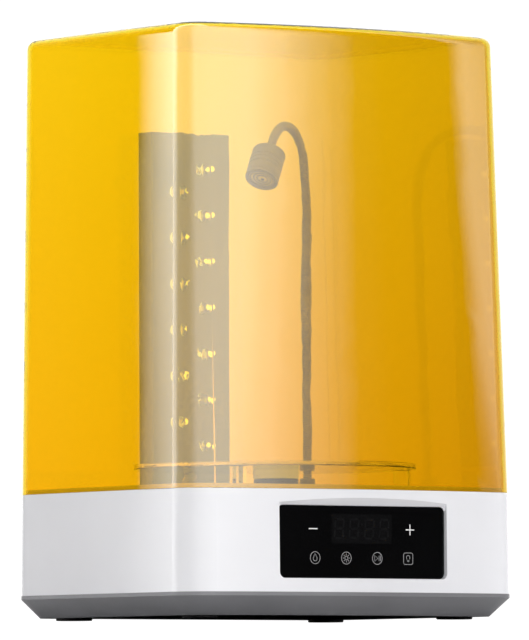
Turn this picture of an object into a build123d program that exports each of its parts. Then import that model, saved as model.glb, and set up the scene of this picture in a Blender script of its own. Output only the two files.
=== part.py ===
"""Resin wash and cure station: a lift-off amber hood over a turntable, an LED column and a
gooseneck lamp, on a base that holds the drive, the control panel and the electronics.

Millimetres. +Z is up, -Y is the front, and the origin is at the bottom centre of the bounding box.
Each finished piece is written to parts/NAME.step."""

import os
from math import cos, radians, sin

from build123d import *

os.makedirs("parts", exist_ok=True)

# ---------------------------------------------------------------- driving dimensions
HEIGHT = 467.0  # feet to hood top
SEAM_Z = 101.0  # deck level, where the hood rests
SKIRT_Z = 20.0  # lower edge of the white housing
TRAY_Z = 2.0  # underside of the tray

SEAM_WIDTH, SEAM_BACK, SEAM_FRONT, SEAM_BOW, SEAM_RADIUS = 322.0, 134.0, -116.0, 18.0, 28.0
TOP_WIDTH, TOP_BACK, TOP_FRONT, TOP_BOW, TOP_RADIUS = 306.0, 134.0, -104.0, 22.0, 24.0
SIDE_BOW, SKIRT_FLARE = 2.0, 0.8

HOOD_WALL, HOOD_ROUND = 3.0, 8.0
EDGE_SOFTENING = 0.8
HOUSING_WALL, DECK = 2.8, 3.0
LIP_GAP, LIP_WALL, LIP_HEIGHT = 0.5, 2.5, 3.5
TRAY_WALL, TRAY_RIM, TRAY_BEVEL = 3.0, 3.0, 14.0
TONGUE_GAP, TONGUE_WALL, TONGUE_HEIGHT = 0.3, 2.0, 3.0

DRIVE_X, DRIVE_Y = 0.0, -7.5
SPINDLE_R, RUNNING_FIT = 4.0, 0.05
HUB_R, HUB_LOW, HUB_TOP = 18.0, 103.0, 112.5
HUB_KEY_R, HUB_KEY_TOP = 7.5, 116.5

DISC_R, DISC_LOW, DISC_TOP = 111.8, 120.0, 123.2
LEG_R, LEG_CIRCLE_R, LEG_LOW = 6.8, 104.0, 102.5
LEG_COUNT, LEG_START_ANGLE = 3, -22.6

COLUMN_WIDTH, COLUMN_FRONT, COLUMN_BACK, COLUMN_TOP = 74.0, 107.5, 126.0, 397.0
COLUMN_WALL, COVER_THICK = 2.0, 2.0
LED_ROWS, LED_FIRST_Z, LED_STEP, LED_X = 13, 142.8, 18.75, 13.85
LENS_R, LENS_DOME, LENS_FLANGE = 5.2, 2.4, 1.2

LAMP_X, LAMP_Y, LAMP_HEADING = 98.0, 84.0, 210.7
NECK_R = 3.7
LOWER_FLEX = (228.0, 256.0)  # heights of the neck's lower bending stretch
NECK_STRAIGHT_TOP, SWEEP_R, SWEEP_TURN, CROOK_R, CROOK_TURN = 334.0, 170.0, 14.0, 36.0, 131.0
CROOK_SPLIT = (40.0, 50.0)  # degrees of the crook before and along its bending stretch
HEAD_R, HEAD_LENGTH = 13.9, 28.4

PANEL_WIDTH, PANEL_HEIGHT, PANEL_THICK, PANEL_CORNER = 163.0, 57.0, 2.5, 5.0
PANEL_X, PANEL_Z, PANEL_FRONT, PANEL_FIT = -2.5, 59.5, -127.0, 0.3
UPPER_KEYS = [(PANEL_X + x, 69.7) for x in (-47.5, 47.5)]
LOWER_KEYS = [(PANEL_X + x, 46.4) for x in (-45.6, -15.2, 15.2, 45.6)]
DISPLAY_WIDTH, DISPLAY_HEIGHT, DISPLAY_Z = 58.0, 22.0, 70.0

FOOT_R, FOOT_TOP = 14.5, 3.0
FEET = [(x, y) for x in (-125.0, 125.0) for y in (-79.0, 95.0)]
CASE_POSTS = [(x, y) for x in (-142.0, 142.0) for y in (-86.0, 106.0)] + [(-70.0, -103.0), (70.0, -103.0)]
CASE_SCREW_SEAT, CASE_SCREW_LENGTH = 12.0, 26.0
DRIVE_SLOT = 0.7  # width of the cross in a screw head
SCREW_R, SCREW_HEAD_R, SCREW_HEAD_H = 1.5, 2.9, 2.0
SMALL_SCREW_R, SMALL_HEAD_R, SMALL_HEAD_H = 1.1, 2.3, 1.5
POST_R, BOARD_POST_R = 4.2, 3.2

SWITCH_X, INLET_X, REAR_Z = -104.0, -66.0, 56.0
REAR_RECESS, REAR_WALL = 2.2, 2.8  # the sunk panel that carries the switch and the inlet
ROCKER_TILT = 7.5

# ---------------------------------------------------------------- derived places
LIP_OUT = HOOD_WALL + LIP_GAP
LIP_IN = LIP_OUT + LIP_WALL
DECK_UNDER = SEAM_Z - DECK
PANEL_BACK = PANEL_FRONT + PANEL_THICK
SKIRT_BACK = SEAM_BACK + SKIRT_FLARE
REAR_FACE = SEAM_BACK - REAR_RECESS
LED_SPOTS = [(LED_X if row % 2 == 0 else -LED_X, LED_FIRST_Z + LED_STEP * row) for row in range(LED_ROWS)]

BOTTOM_UP = (Align.CENTER, Align.CENTER, Align.MIN)
TOP_DOWN = (Align.CENTER, Align.CENTER, Align.MAX)


# ---------------------------------------------------------------- shared helpers
def body_section(z, width, back, front, bow, radius, inset=0.0):
    """The station's plan outline at height z: flat back, gently bowed sides, bowed front."""
    half = width / 2 - inset
    y_back, y_front = back - inset, front + inset
    y_mid = (y_back + y_front) / 2
    with BuildSketch(Plane.XY.offset(z)) as section:
        with BuildLine():
            ThreePointArc((-half, y_front), (0, y_front - bow), (half, y_front))
            ThreePointArc((half, y_front), (half + SIDE_BOW, y_mid), (half, y_back))
            Line((half, y_back), (-half, y_back))
            ThreePointArc((-half, y_back), (-half - SIDE_BOW, y_mid), (-half, y_front))
        make_face()
        fillet(section.vertices(), radius - min(inset, radius - 6))
    return section.sketch.face()


def seam_section(z, inset=0.0):
    """The plan outline that the base keeps from the tray to the seam."""
    return body_section(z, SEAM_WIDTH, SEAM_BACK, SEAM_FRONT, SEAM_BOW, SEAM_RADIUS, inset)


def hood_section(z, inset=0.0):
    """The hood's plan outline at height z, on the straight taper from the seam to the top."""
    share = (z - SEAM_Z) / (HEIGHT - SEAM_Z)
    seam = (SEAM_WIDTH, SEAM_BACK, SEAM_FRONT, SEAM_BOW, SEAM_RADIUS)
    top = (TOP_WIDTH, TOP_BACK, TOP_FRONT, TOP_BOW, TOP_RADIUS)
    return body_section(z, *(a + share * (b - a) for a, b in zip(seam, top)), inset)


def ring_wall(z, outer_inset, inner_inset, height):
    """A closed wall that follows the plan outline between two insets."""
    with BuildPart(mode=Mode.PRIVATE) as wall:
        extrude(seam_section(z, outer_inset), amount=height, dir=(0, 0, 1))
        extrude(seam_section(z, inner_inset), amount=height, dir=(0, 0, 1), mode=Mode.SUBTRACT)
    return wall.part


def pan_screw(length, shank_r=SCREW_R, head_r=SCREW_HEAD_R, head_h=SCREW_HEAD_H):
    """A pan-head screw whose head seat is at its origin: head above, shank below."""
    with BuildPart(mode=Mode.PRIVATE) as screw:
        Cylinder(head_r, head_h, align=BOTTOM_UP)
        fillet(screw.edges().sort_by(Axis.Z)[-1], head_h * 0.35)
        Cylinder(shank_r, length, align=TOP_DOWN)
        with Locations((0, 0, head_h)):
            Box(head_r * 1.2, DRIVE_SLOT, head_h, mode=Mode.SUBTRACT)
            Box(DRIVE_SLOT, head_r * 1.2, head_h, mode=Mode.SUBTRACT)
    return screw.part


def front_plane(y, x, z):
    """A plane that faces the front: its x runs right, its y runs up, its normal points at -Y."""
    return Plane(origin=(x, y, z), x_dir=(1, 0, 0), z_dir=(0, -1, 0))


def rear_plane(y, x, z):
    """A plane that faces the back: its x runs towards -X, its y runs up, its normal points at +Y."""
    return Plane(origin=(x, y, z), x_dir=(-1, 0, 0), z_dir=(0, 1, 0))


def write(piece, label):
    piece.part.label = label
    export_step(piece.part, f"parts/{label}.step")


# ---------------------------------------------------------------- hood
MAGNET_SIZE, MAGNET_Z = (12.0, 2.2, 12.0), 112.0  # interlock magnet behind the LED column

with BuildPart() as hood:
    loft(sections=[hood_section(SEAM_Z), hood_section(HEIGHT)])
    fillet(hood.faces().sort_by(Axis.Z)[-1].edges(), HOOD_ROUND)
    with BuildPart(mode=Mode.PRIVATE) as hood_room:
        loft(sections=[hood_section(SEAM_Z, HOOD_WALL), hood_section(HEIGHT - HOOD_WALL, HOOD_WALL)])
        fillet(hood_room.faces().sort_by(Axis.Z)[-1].edges(), HOOD_ROUND - HOOD_WALL)
    add(hood_room.part, mode=Mode.SUBTRACT)
write(hood, "hood")

with BuildPart() as hood_magnet:
    with Locations((0, SEAM_BACK - HOOD_WALL - MAGNET_SIZE[1] / 2, MAGNET_Z)):
        Box(*MAGNET_SIZE)
write(hood_magnet, "hood_magnet")


# ---------------------------------------------------------------- base housing
BEARING_R, BEARING_WIDTH, BEARING_LOW = 11.0, 7.0, 88.0
SEAL_R = 9.0
BEARING_BOSS_R = 15.0
MOTOR_POST_SPREAD, MOTOR_POST_LOW = 24.0, 66.0
MOTOR_POSTS = [(DRIVE_X + x, DRIVE_Y + y) for x in (-MOTOR_POST_SPREAD, MOTOR_POST_SPREAD)
               for y in (-MOTOR_POST_SPREAD, MOTOR_POST_SPREAD)]
RETAINER_SPOTS_R, RETAINER_SPOTS, RETAINER_THICK = 13.0, 3, 2.0
WINDOW_WIDTH, WINDOW_HEIGHT = 140.0, 45.0
POCKET_WALL, POCKET_DEPTH, POCKET_MARGIN = 2.5, 20.0, 3.0
POCKET_RISE = 0.84  # the pocket's roof rises by this for each mm of depth
POCKET_BLOCK_INSET = 1.0  # the block behind the panel stops inside the housing wall
BOARD_POSTS = [(PANEL_X + x, z) for x in (-66.0, 66.0) for z in (PANEL_Z - 25.5, PANEL_Z + 25.5)]
BOARD_PILOT_DEPTH = 4.0
TOUCH_BOARD_FRONT, TOUCH_BOARD_THICK = -119.0, 1.6
TOUCH_BOARD = (142.0, 58.0, 3.0)  # width, height, corner radius
RETAINER_PILOT_R, RETAINER_PILOT_DEPTH = 0.9, 6.0
MOTOR_PILOT_DEPTH = 10.0
COLUMN_SCREWS = [(-28.0, 117.0), (28.0, 117.0)]
COLUMN_WIRE_HOLE = (0.0, 117.0, 5.0)  # x, y, radius
SOCKET_HOLE_R = 5.5
SWITCH_CUT = (13.0, 19.2)  # width, height
INLET_CUT_R = 5.6
VENT_COUNT, VENT_PITCH, VENT_SIZE = 7, 7.0, (3.0, 26.0)
VENT_X = 80.0
REAR_PANEL = (64.0, 30.0, 3.0)  # width, height and corner radius of the sunk rear panel
REAR_PANEL_MARGIN = 5.0
REAR_PANEL_X = (SWITCH_X + INLET_X) / 2


def pocket_space():
    """The recess for the panel: a flat floor, straight sides and a roof that opens outwards."""
    half_w, half_h = PANEL_WIDTH / 2 + PANEL_FIT, PANEL_HEIGHT / 2 + PANEL_FIT
    with BuildPart(mode=Mode.PRIVATE) as space:
        with BuildSketch(front_plane(PANEL_BACK, PANEL_X, PANEL_Z)):
            RectangleRounded(2 * half_w, 2 * half_h, PANEL_CORNER)
        extrude(amount=POCKET_DEPTH)
        with BuildSketch(Plane.YZ.offset(PANEL_X - half_w)):
            with BuildLine():
                Polyline((PANEL_FRONT, PANEL_Z + half_h - PANEL_CORNER),
                         (PANEL_FRONT, PANEL_Z + half_h),
                         (PANEL_FRONT - POCKET_DEPTH, PANEL_Z + half_h + POCKET_RISE * POCKET_DEPTH),
                         (PANEL_FRONT - POCKET_DEPTH, PANEL_Z + half_h - PANEL_CORNER), close=True)
            make_face()
        extrude(amount=2 * half_w, dir=(1, 0, 0))
    return space.part


def pocket_block():
    """The block that the recess is cut from; its front follows the bowed wall of the housing."""
    low = PANEL_Z - PANEL_HEIGHT / 2 - POCKET_MARGIN
    with BuildPart(mode=Mode.PRIVATE) as block:
        extrude(seam_section(low, POCKET_BLOCK_INSET), amount=DECK_UNDER - low, dir=(0, 0, 1))
        with Locations((PANEL_X, PANEL_BACK + POCKET_WALL, low)):
            Box(PANEL_WIDTH + 2 * POCKET_MARGIN, POCKET_DEPTH, DECK_UNDER - low,
                align=(Align.CENTER, Align.MAX, Align.MIN), mode=Mode.INTERSECT)
    return block.part


with BuildPart() as upper_housing:
    loft(sections=[seam_section(SKIRT_Z, -SKIRT_FLARE), seam_section(SEAM_Z)])
    fillet(upper_housing.faces().sort_by(Axis.Z)[-1].edges(), EDGE_SOFTENING)
    extrude(seam_section(SKIRT_Z, HOUSING_WALL), amount=DECK_UNDER - SKIRT_Z, dir=(0, 0, 1),
            mode=Mode.SUBTRACT)
    add(ring_wall(SEAM_Z, LIP_OUT, LIP_IN, LIP_HEIGHT))
    # panel pocket: a block behind the bowed front, then the recess and the board's window
    add(pocket_block())
    add(pocket_space(), mode=Mode.SUBTRACT)
    with Locations((PANEL_X, PANEL_BACK, PANEL_Z)):
        Box(WINDOW_WIDTH, POCKET_DEPTH, WINDOW_HEIGHT, mode=Mode.SUBTRACT)
    for x, z in BOARD_POSTS:
        with BuildSketch(front_plane(TOUCH_BOARD_FRONT, x, z)):
            Circle(BOARD_POST_R)
        extrude(amount=TOUCH_BOARD_FRONT - PANEL_BACK - POCKET_WALL, dir=(0, -1, 0))
        with BuildSketch(front_plane(TOUCH_BOARD_FRONT, x, z)):
            Circle(SMALL_SCREW_R)
        extrude(amount=BOARD_PILOT_DEPTH, dir=(0, -1, 0), mode=Mode.SUBTRACT)
    # case posts, drive posts and the bearing boss hang from the deck
    for x, y in CASE_POSTS:
        with Locations((x, y, SKIRT_Z)):
            Cylinder(POST_R, DECK_UNDER - SKIRT_Z, align=BOTTOM_UP)
            Cylinder(SCREW_R, CASE_SCREW_LENGTH, align=BOTTOM_UP, mode=Mode.SUBTRACT)
    for x, y in MOTOR_POSTS:
        with Locations((x, y, MOTOR_POST_LOW)):
            Cylinder(POST_R, DECK_UNDER - MOTOR_POST_LOW, align=BOTTOM_UP)
            Cylinder(SCREW_R, MOTOR_PILOT_DEPTH, align=BOTTOM_UP, mode=Mode.SUBTRACT)
    with Locations((DRIVE_X, DRIVE_Y, BEARING_LOW)):
        Cylinder(BEARING_BOSS_R, DECK_UNDER - BEARING_LOW, align=BOTTOM_UP)
        Cylinder(BEARING_R, BEARING_WIDTH, align=BOTTOM_UP, mode=Mode.SUBTRACT)
        Cylinder(SEAL_R, SEAM_Z - BEARING_LOW, align=BOTTOM_UP, mode=Mode.SUBTRACT)
        with PolarLocations(RETAINER_SPOTS_R, RETAINER_SPOTS):
            Cylinder(RETAINER_PILOT_R, RETAINER_PILOT_DEPTH, align=BOTTOM_UP, mode=Mode.SUBTRACT)
    # deck holes: LED column screws and leads, lamp socket
    for x, y in COLUMN_SCREWS:
        with Locations((x, y, DECK_UNDER)):
            Cylinder(SCREW_R, DECK, align=BOTTOM_UP, mode=Mode.SUBTRACT)
    with Locations((COLUMN_WIRE_HOLE[0], COLUMN_WIRE_HOLE[1], DECK_UNDER)):
        Cylinder(COLUMN_WIRE_HOLE[2], DECK, align=BOTTOM_UP, mode=Mode.SUBTRACT)
    with Locations((LAMP_X, LAMP_Y, DECK_UNDER)):
        Cylinder(SOCKET_HOLE_R, DECK, align=BOTTOM_UP, mode=Mode.SUBTRACT)
    # rear wall: sunk panel with the switch cut-out and the power inlet hole, then vent slots
    with Locations((REAR_PANEL_X, REAR_FACE - REAR_WALL, REAR_Z)):
        Box(REAR_PANEL[0] + REAR_PANEL_MARGIN, REAR_WALL, REAR_PANEL[1] + REAR_PANEL_MARGIN,
            align=(Align.CENTER, Align.MIN, Align.CENTER))
    with BuildSketch(rear_plane(SKIRT_BACK, REAR_PANEL_X, REAR_Z)):
        RectangleRounded(*REAR_PANEL)
    extrude(amount=REAR_FACE - SKIRT_BACK, mode=Mode.SUBTRACT)
    with BuildSketch(rear_plane(REAR_FACE, SWITCH_X, REAR_Z)):
        Rectangle(*SWITCH_CUT)
    extrude(amount=-REAR_WALL, mode=Mode.SUBTRACT)
    with BuildSketch(rear_plane(REAR_FACE, INLET_X, REAR_Z)):
        Circle(INLET_CUT_R)
    extrude(amount=-REAR_WALL, mode=Mode.SUBTRACT)
    with BuildSketch(rear_plane(SKIRT_BACK, VENT_X, REAR_Z)):
        with GridLocations(VENT_PITCH, 1, VENT_COUNT, 1):
            SlotOverall(VENT_SIZE[1], VENT_SIZE[0], rotation=90)
    extrude(amount=-SKIRT_FLARE - HOUSING_WALL, mode=Mode.SUBTRACT)
write(upper_housing, "upper_housing")


# ---------------------------------------------------------------- tray, feet and case screws
TRAY_RIM_LOW = SKIRT_Z - TRAY_RIM
MAIN_BOARD_X, MAIN_BOARD_Y, MAIN_BOARD_LOW = 84.0, 30.0, 17.0
MAIN_BOARD_SIZE, MAIN_BOARD_CORNER = (96.0, 74.0, 1.6), 3.0
TRAY_POST_R, HEAD_CLEARANCE, SHANK_CLEARANCE = 5.4, 0.6, 0.2
FOOT_CLEARANCE = 0.2
MAIN_BOARD_POSTS = [(MAIN_BOARD_X + x, MAIN_BOARD_Y + y) for x in (-43.0, 43.0) for y in (-32.0, 32.0)]

with BuildPart() as lower_tray:
    loft(sections=[seam_section(TRAY_Z, TRAY_BEVEL), seam_section(TRAY_RIM_LOW, -SKIRT_FLARE)])
    extrude(seam_section(TRAY_RIM_LOW, -SKIRT_FLARE), amount=TRAY_RIM, dir=(0, 0, 1))
    loft(sections=[seam_section(TRAY_Z + TRAY_WALL, TRAY_BEVEL + TRAY_WALL),
                   seam_section(TRAY_RIM_LOW, TRAY_WALL)], mode=Mode.SUBTRACT)
    extrude(seam_section(TRAY_RIM_LOW, TRAY_WALL), amount=TRAY_RIM, dir=(0, 0, 1), mode=Mode.SUBTRACT)
    # tongue that locates the housing
    add(ring_wall(TRAY_RIM_LOW - TRAY_RIM, HOUSING_WALL + TONGUE_GAP,
                  HOUSING_WALL + TONGUE_GAP + TONGUE_WALL, 2 * TRAY_RIM + TONGUE_HEIGHT))
    for x, y in CASE_POSTS:
        with Locations((x, y, TRAY_Z)):
            Cylinder(TRAY_POST_R, SKIRT_Z - TRAY_Z, align=BOTTOM_UP)
            Cylinder(SCREW_HEAD_R + HEAD_CLEARANCE, CASE_SCREW_SEAT - TRAY_Z, align=BOTTOM_UP,
                     mode=Mode.SUBTRACT)
            Cylinder(SCREW_R + SHANK_CLEARANCE, SKIRT_Z - TRAY_Z, align=BOTTOM_UP, mode=Mode.SUBTRACT)
    for x, y in MAIN_BOARD_POSTS:
        with Locations((x, y, TRAY_Z + TRAY_WALL)):
            Cylinder(BOARD_POST_R, MAIN_BOARD_LOW - TRAY_Z - TRAY_WALL, align=BOTTOM_UP)
            Cylinder(SMALL_SCREW_R, MAIN_BOARD_LOW - TRAY_Z - TRAY_WALL, align=BOTTOM_UP,
                     mode=Mode.SUBTRACT)
    with Locations(*[(x, y, TRAY_Z) for x, y in FEET]):
        Cylinder(FOOT_R + FOOT_CLEARANCE, FOOT_TOP - TRAY_Z, align=BOTTOM_UP, mode=Mode.SUBTRACT)
write(lower_tray, "lower_tray")

with BuildPart() as rubber_feet:
    with Locations(*[(x, y, 0) for x, y in FEET]):
        Cylinder(FOOT_R, FOOT_TOP, align=BOTTOM_UP)
    fillet(rubber_feet.edges().group_by(Axis.Z)[0], EDGE_SOFTENING)
write(rubber_feet, "rubber_feet")

with BuildPart() as case_screws:
    for x, y in CASE_POSTS:
        with Locations(Location((x, y, CASE_SCREW_SEAT), (180, 0, 0))):
            add(pan_screw(CASE_SCREW_LENGTH))
write(case_screws, "case_screws")


# ---------------------------------------------------------------- control panel
SPRING_R, SPRING_WALL, SPRING_TAPER = 4.6, 0.9, 4.0
GLASS_CHAMFER = 0.4

with BuildPart() as panel_glass:
    with BuildSketch(front_plane(PANEL_BACK, PANEL_X, PANEL_Z)):
        RectangleRounded(PANEL_WIDTH, PANEL_HEIGHT, PANEL_CORNER)
    extrude(amount=PANEL_THICK)
    chamfer(panel_glass.faces().sort_by(Axis.Y)[0].edges(), GLASS_CHAMFER)
write(panel_glass, "panel_glass")

with BuildPart() as display_module:
    with BuildSketch(front_plane(TOUCH_BOARD_FRONT, PANEL_X, DISPLAY_Z)):
        Rectangle(DISPLAY_WIDTH, DISPLAY_HEIGHT)
    extrude(amount=TOUCH_BOARD_FRONT - PANEL_BACK)
write(display_module, "display_module")

with BuildPart() as touch_springs:
    for x, z in UPPER_KEYS + LOWER_KEYS:
        with BuildSketch(front_plane(TOUCH_BOARD_FRONT, x, z)):
            Circle(SPRING_R)
            Circle(SPRING_R - SPRING_WALL, mode=Mode.SUBTRACT)
        extrude(amount=TOUCH_BOARD_FRONT - PANEL_BACK, taper=SPRING_TAPER)
write(touch_springs, "touch_springs")

with BuildPart() as touch_board:
    with BuildSketch(front_plane(TOUCH_BOARD_FRONT, PANEL_X, PANEL_Z)):
        RectangleRounded(*TOUCH_BOARD)
        with Locations(*[(x - PANEL_X, z - PANEL_Z) for x, z in BOARD_POSTS]):
            Circle(SMALL_SCREW_R, mode=Mode.SUBTRACT)
    extrude(amount=-TOUCH_BOARD_THICK)
write(touch_board, "touch_board")


# ---------------------------------------------------------------- turntable drive
RACE_WALL = 1.8
INNER_RACE_R = SPINDLE_R + 2.2
OUTER_RACE_IN = BEARING_R - RACE_WALL
BALL_PITCH_R = (INNER_RACE_R + OUTER_RACE_IN) / 2
BALL_COUNT = 8
SPINDLE_LOW, SPINDLE_TOP = 77.0, 111.0
MOTOR_FACE, GEARBOX_R, GEARBOX_LENGTH, MOTOR_R, MOTOR_LENGTH = 63.5, 18.5, 22.0, 16.8, 28.0
BRACKET_THICK = MOTOR_POST_LOW - MOTOR_FACE
MOTOR_SHAFT_R, MOTOR_SHAFT_TOP, MOTOR_NOSE_R = 3.0, 76.0, 6.0
COUPLING_R, COUPLING_LOW, COUPLING_TOP = 8.0, 68.0, 85.5
MOTOR_SCREW_SPREAD, MOTOR_SHAFT_INSIDE, MOTOR_SCREW_GRIP = 9.5, 14.0, 4.0
MOTOR_ROUND, MOTOR_TAIL_R, MOTOR_TAIL, MOTOR_TERMINALS = 2.0, 5.0, 2.0, (0.8, 3.0, 5.0)
MOTOR_TERMINAL_X = 9.0
BRACKET_SIZE, BRACKET_CORNER = 60.0, 6.0
COUPLING_CLAMP, COUPLING_SLIT, SHAFT_BORE = 6.0, 1.2, 8.5
SEAL_STANDS, SEAL_RELIEF = 0.6, 1.0
SPINDLE_THREAD, SPINDLE_CHAMFER = 10.0, 0.5
RETAINER_HEAD_R, RETAINER_HEAD_H, RETAINER_GRIP = 1.7, 1.2, 5.0
MOTOR_HEAD_H, MOTOR_POST_GRIP = 1.6, 8.0
HUB_ROUND, HUB_KEY_CHAMFER = 1.2, 0.6
HUB_MAGNET_R, HUB_MAGNET_H, HUB_MAGNET_CIRCLE_R, HUB_MAGNET_COUNT = 3.0, 5.0, 12.5, 6
HUB_SCREW_SEAT, HUB_SCREW_PLAY = 113.5, 2.0


def on_drive_axis(z):
    return Locations((DRIVE_X, DRIVE_Y, z))


with BuildPart() as bearing_outer_race:
    with on_drive_axis(BEARING_LOW):
        Cylinder(BEARING_R, BEARING_WIDTH, align=BOTTOM_UP)
        Cylinder(OUTER_RACE_IN, BEARING_WIDTH, align=BOTTOM_UP, mode=Mode.SUBTRACT)
write(bearing_outer_race, "bearing_outer_race")

with BuildPart() as bearing_balls:
    with on_drive_axis(BEARING_LOW + BEARING_WIDTH / 2):
        with PolarLocations(BALL_PITCH_R, BALL_COUNT):
            Sphere((OUTER_RACE_IN - INNER_RACE_R) / 2 - RUNNING_FIT)
write(bearing_balls, "bearing_balls")

with BuildPart() as bearing_inner_race:
    with on_drive_axis(BEARING_LOW):
        Cylinder(INNER_RACE_R, BEARING_WIDTH, align=BOTTOM_UP)
        Cylinder(SPINDLE_R, BEARING_WIDTH, align=BOTTOM_UP, mode=Mode.SUBTRACT)
write(bearing_inner_race, "bearing_inner_race")

with BuildPart() as bearing_retainer:
    with on_drive_axis(BEARING_LOW):
        Cylinder(BEARING_BOSS_R, RETAINER_THICK, align=TOP_DOWN)
        Cylinder(OUTER_RACE_IN, RETAINER_THICK, align=TOP_DOWN, mode=Mode.SUBTRACT)
        with PolarLocations(RETAINER_SPOTS_R, RETAINER_SPOTS):
            Cylinder(RETAINER_PILOT_R, RETAINER_THICK, align=TOP_DOWN, mode=Mode.SUBTRACT)
write(bearing_retainer, "bearing_retainer")

with BuildPart() as shaft_seal:
    with on_drive_axis(BEARING_LOW + BEARING_WIDTH):
        Cylinder(SEAL_R, SEAM_Z + SEAL_STANDS - BEARING_LOW - BEARING_WIDTH, align=BOTTOM_UP)
        Cylinder(SPINDLE_R + RUNNING_FIT, SEAM_Z - BEARING_LOW, align=BOTTOM_UP, mode=Mode.SUBTRACT)
        Cylinder(INNER_RACE_R + SEAL_RELIEF, SEAL_RELIEF, align=BOTTOM_UP, mode=Mode.SUBTRACT)
write(shaft_seal, "shaft_seal")

with BuildPart() as spindle:
    with on_drive_axis(SPINDLE_LOW):
        Cylinder(SPINDLE_R, SPINDLE_TOP - SPINDLE_LOW, align=BOTTOM_UP)
    chamfer(spindle.edges().group_by(Axis.Z)[0], SPINDLE_CHAMFER)
    with on_drive_axis(SPINDLE_TOP):
        Cylinder(SCREW_R, SPINDLE_THREAD, align=TOP_DOWN, mode=Mode.SUBTRACT)
write(spindle, "spindle")

with BuildPart() as shaft_coupling:
    with on_drive_axis(COUPLING_LOW):
        Cylinder(COUPLING_R, COUPLING_TOP - COUPLING_LOW, align=BOTTOM_UP)
        Cylinder(MOTOR_SHAFT_R, SHAFT_BORE, align=BOTTOM_UP, mode=Mode.SUBTRACT)
    with on_drive_axis(COUPLING_LOW + SHAFT_BORE):
        Cylinder(SPINDLE_R, COUPLING_TOP - COUPLING_LOW, align=BOTTOM_UP, mode=Mode.SUBTRACT)
    # clamping slit on each half
    with Locations((DRIVE_X, DRIVE_Y, COUPLING_LOW), (DRIVE_X, DRIVE_Y, COUPLING_TOP - COUPLING_CLAMP)):
        Box(2 * COUPLING_R, COUPLING_SLIT, COUPLING_CLAMP, align=(Align.MIN, Align.CENTER, Align.MIN),
            mode=Mode.SUBTRACT)
write(shaft_coupling, "shaft_coupling")

with BuildPart() as motor_bracket:
    with BuildSketch(Plane.XY.offset(MOTOR_FACE)):
        with Locations((DRIVE_X, DRIVE_Y)):
            RectangleRounded(BRACKET_SIZE, BRACKET_SIZE, BRACKET_CORNER)
            Circle(MOTOR_NOSE_R, mode=Mode.SUBTRACT)
            with GridLocations(2 * MOTOR_POST_SPREAD, 2 * MOTOR_POST_SPREAD, 2, 2):
                Circle(SCREW_R + SHANK_CLEARANCE, mode=Mode.SUBTRACT)
            with GridLocations(2 * MOTOR_SCREW_SPREAD, 2 * MOTOR_SCREW_SPREAD, 2, 2):
                Circle(SCREW_R, mode=Mode.SUBTRACT)
    extrude(amount=BRACKET_THICK)
write(motor_bracket, "motor_bracket")

with BuildPart() as drive_screws:
    for x, y in MOTOR_POSTS:
        with Locations(Location((x, y, MOTOR_FACE), (180, 0, 0))):
            add(pan_screw(BRACKET_THICK + MOTOR_POST_GRIP))
    with on_drive_axis(MOTOR_POST_LOW):
        with GridLocations(2 * MOTOR_SCREW_SPREAD, 2 * MOTOR_SCREW_SPREAD, 2, 2):
            add(pan_screw(BRACKET_THICK + MOTOR_SCREW_GRIP, head_h=MOTOR_HEAD_H))
    with Locations(Location((DRIVE_X, DRIVE_Y, BEARING_LOW - RETAINER_THICK), (180, 0, 0))):
        with PolarLocations(RETAINER_SPOTS_R, RETAINER_SPOTS):
            add(pan_screw(RETAINER_THICK + RETAINER_GRIP, RETAINER_PILOT_R, RETAINER_HEAD_R,
                          RETAINER_HEAD_H))
write(drive_screws, "drive_screws")

with BuildPart() as gearbox:
    with on_drive_axis(MOTOR_FACE):
        Cylinder(GEARBOX_R, GEARBOX_LENGTH, align=TOP_DOWN)
        Cylinder(MOTOR_NOSE_R, BRACKET_THICK, align=BOTTOM_UP)
        Cylinder(MOTOR_SHAFT_R + RUNNING_FIT, 2 * MOTOR_SHAFT_INSIDE, mode=Mode.SUBTRACT)
        with GridLocations(2 * MOTOR_SCREW_SPREAD, 2 * MOTOR_SCREW_SPREAD, 2, 2):
            Cylinder(SCREW_R, MOTOR_SCREW_GRIP, align=TOP_DOWN, mode=Mode.SUBTRACT)
write(gearbox, "gearbox")

with BuildPart() as motor:
    with on_drive_axis(MOTOR_FACE - GEARBOX_LENGTH):
        Cylinder(MOTOR_R, MOTOR_LENGTH, align=TOP_DOWN)
    fillet(motor.edges().group_by(Axis.Z)[0], MOTOR_ROUND)
    with on_drive_axis(MOTOR_FACE - GEARBOX_LENGTH - MOTOR_LENGTH):
        Cylinder(MOTOR_TAIL_R, MOTOR_TAIL, align=TOP_DOWN)
        with Locations((-MOTOR_TERMINAL_X, 0, 0), (MOTOR_TERMINAL_X, 0, 0)):
            Box(*MOTOR_TERMINALS, align=TOP_DOWN)
write(motor, "motor")

with BuildPart() as motor_shaft:
    with on_drive_axis(MOTOR_FACE - MOTOR_SHAFT_INSIDE):
        Cylinder(MOTOR_SHAFT_R, MOTOR_SHAFT_TOP - MOTOR_FACE + MOTOR_SHAFT_INSIDE, align=BOTTOM_UP)
write(motor_shaft, "motor_shaft")

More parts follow.
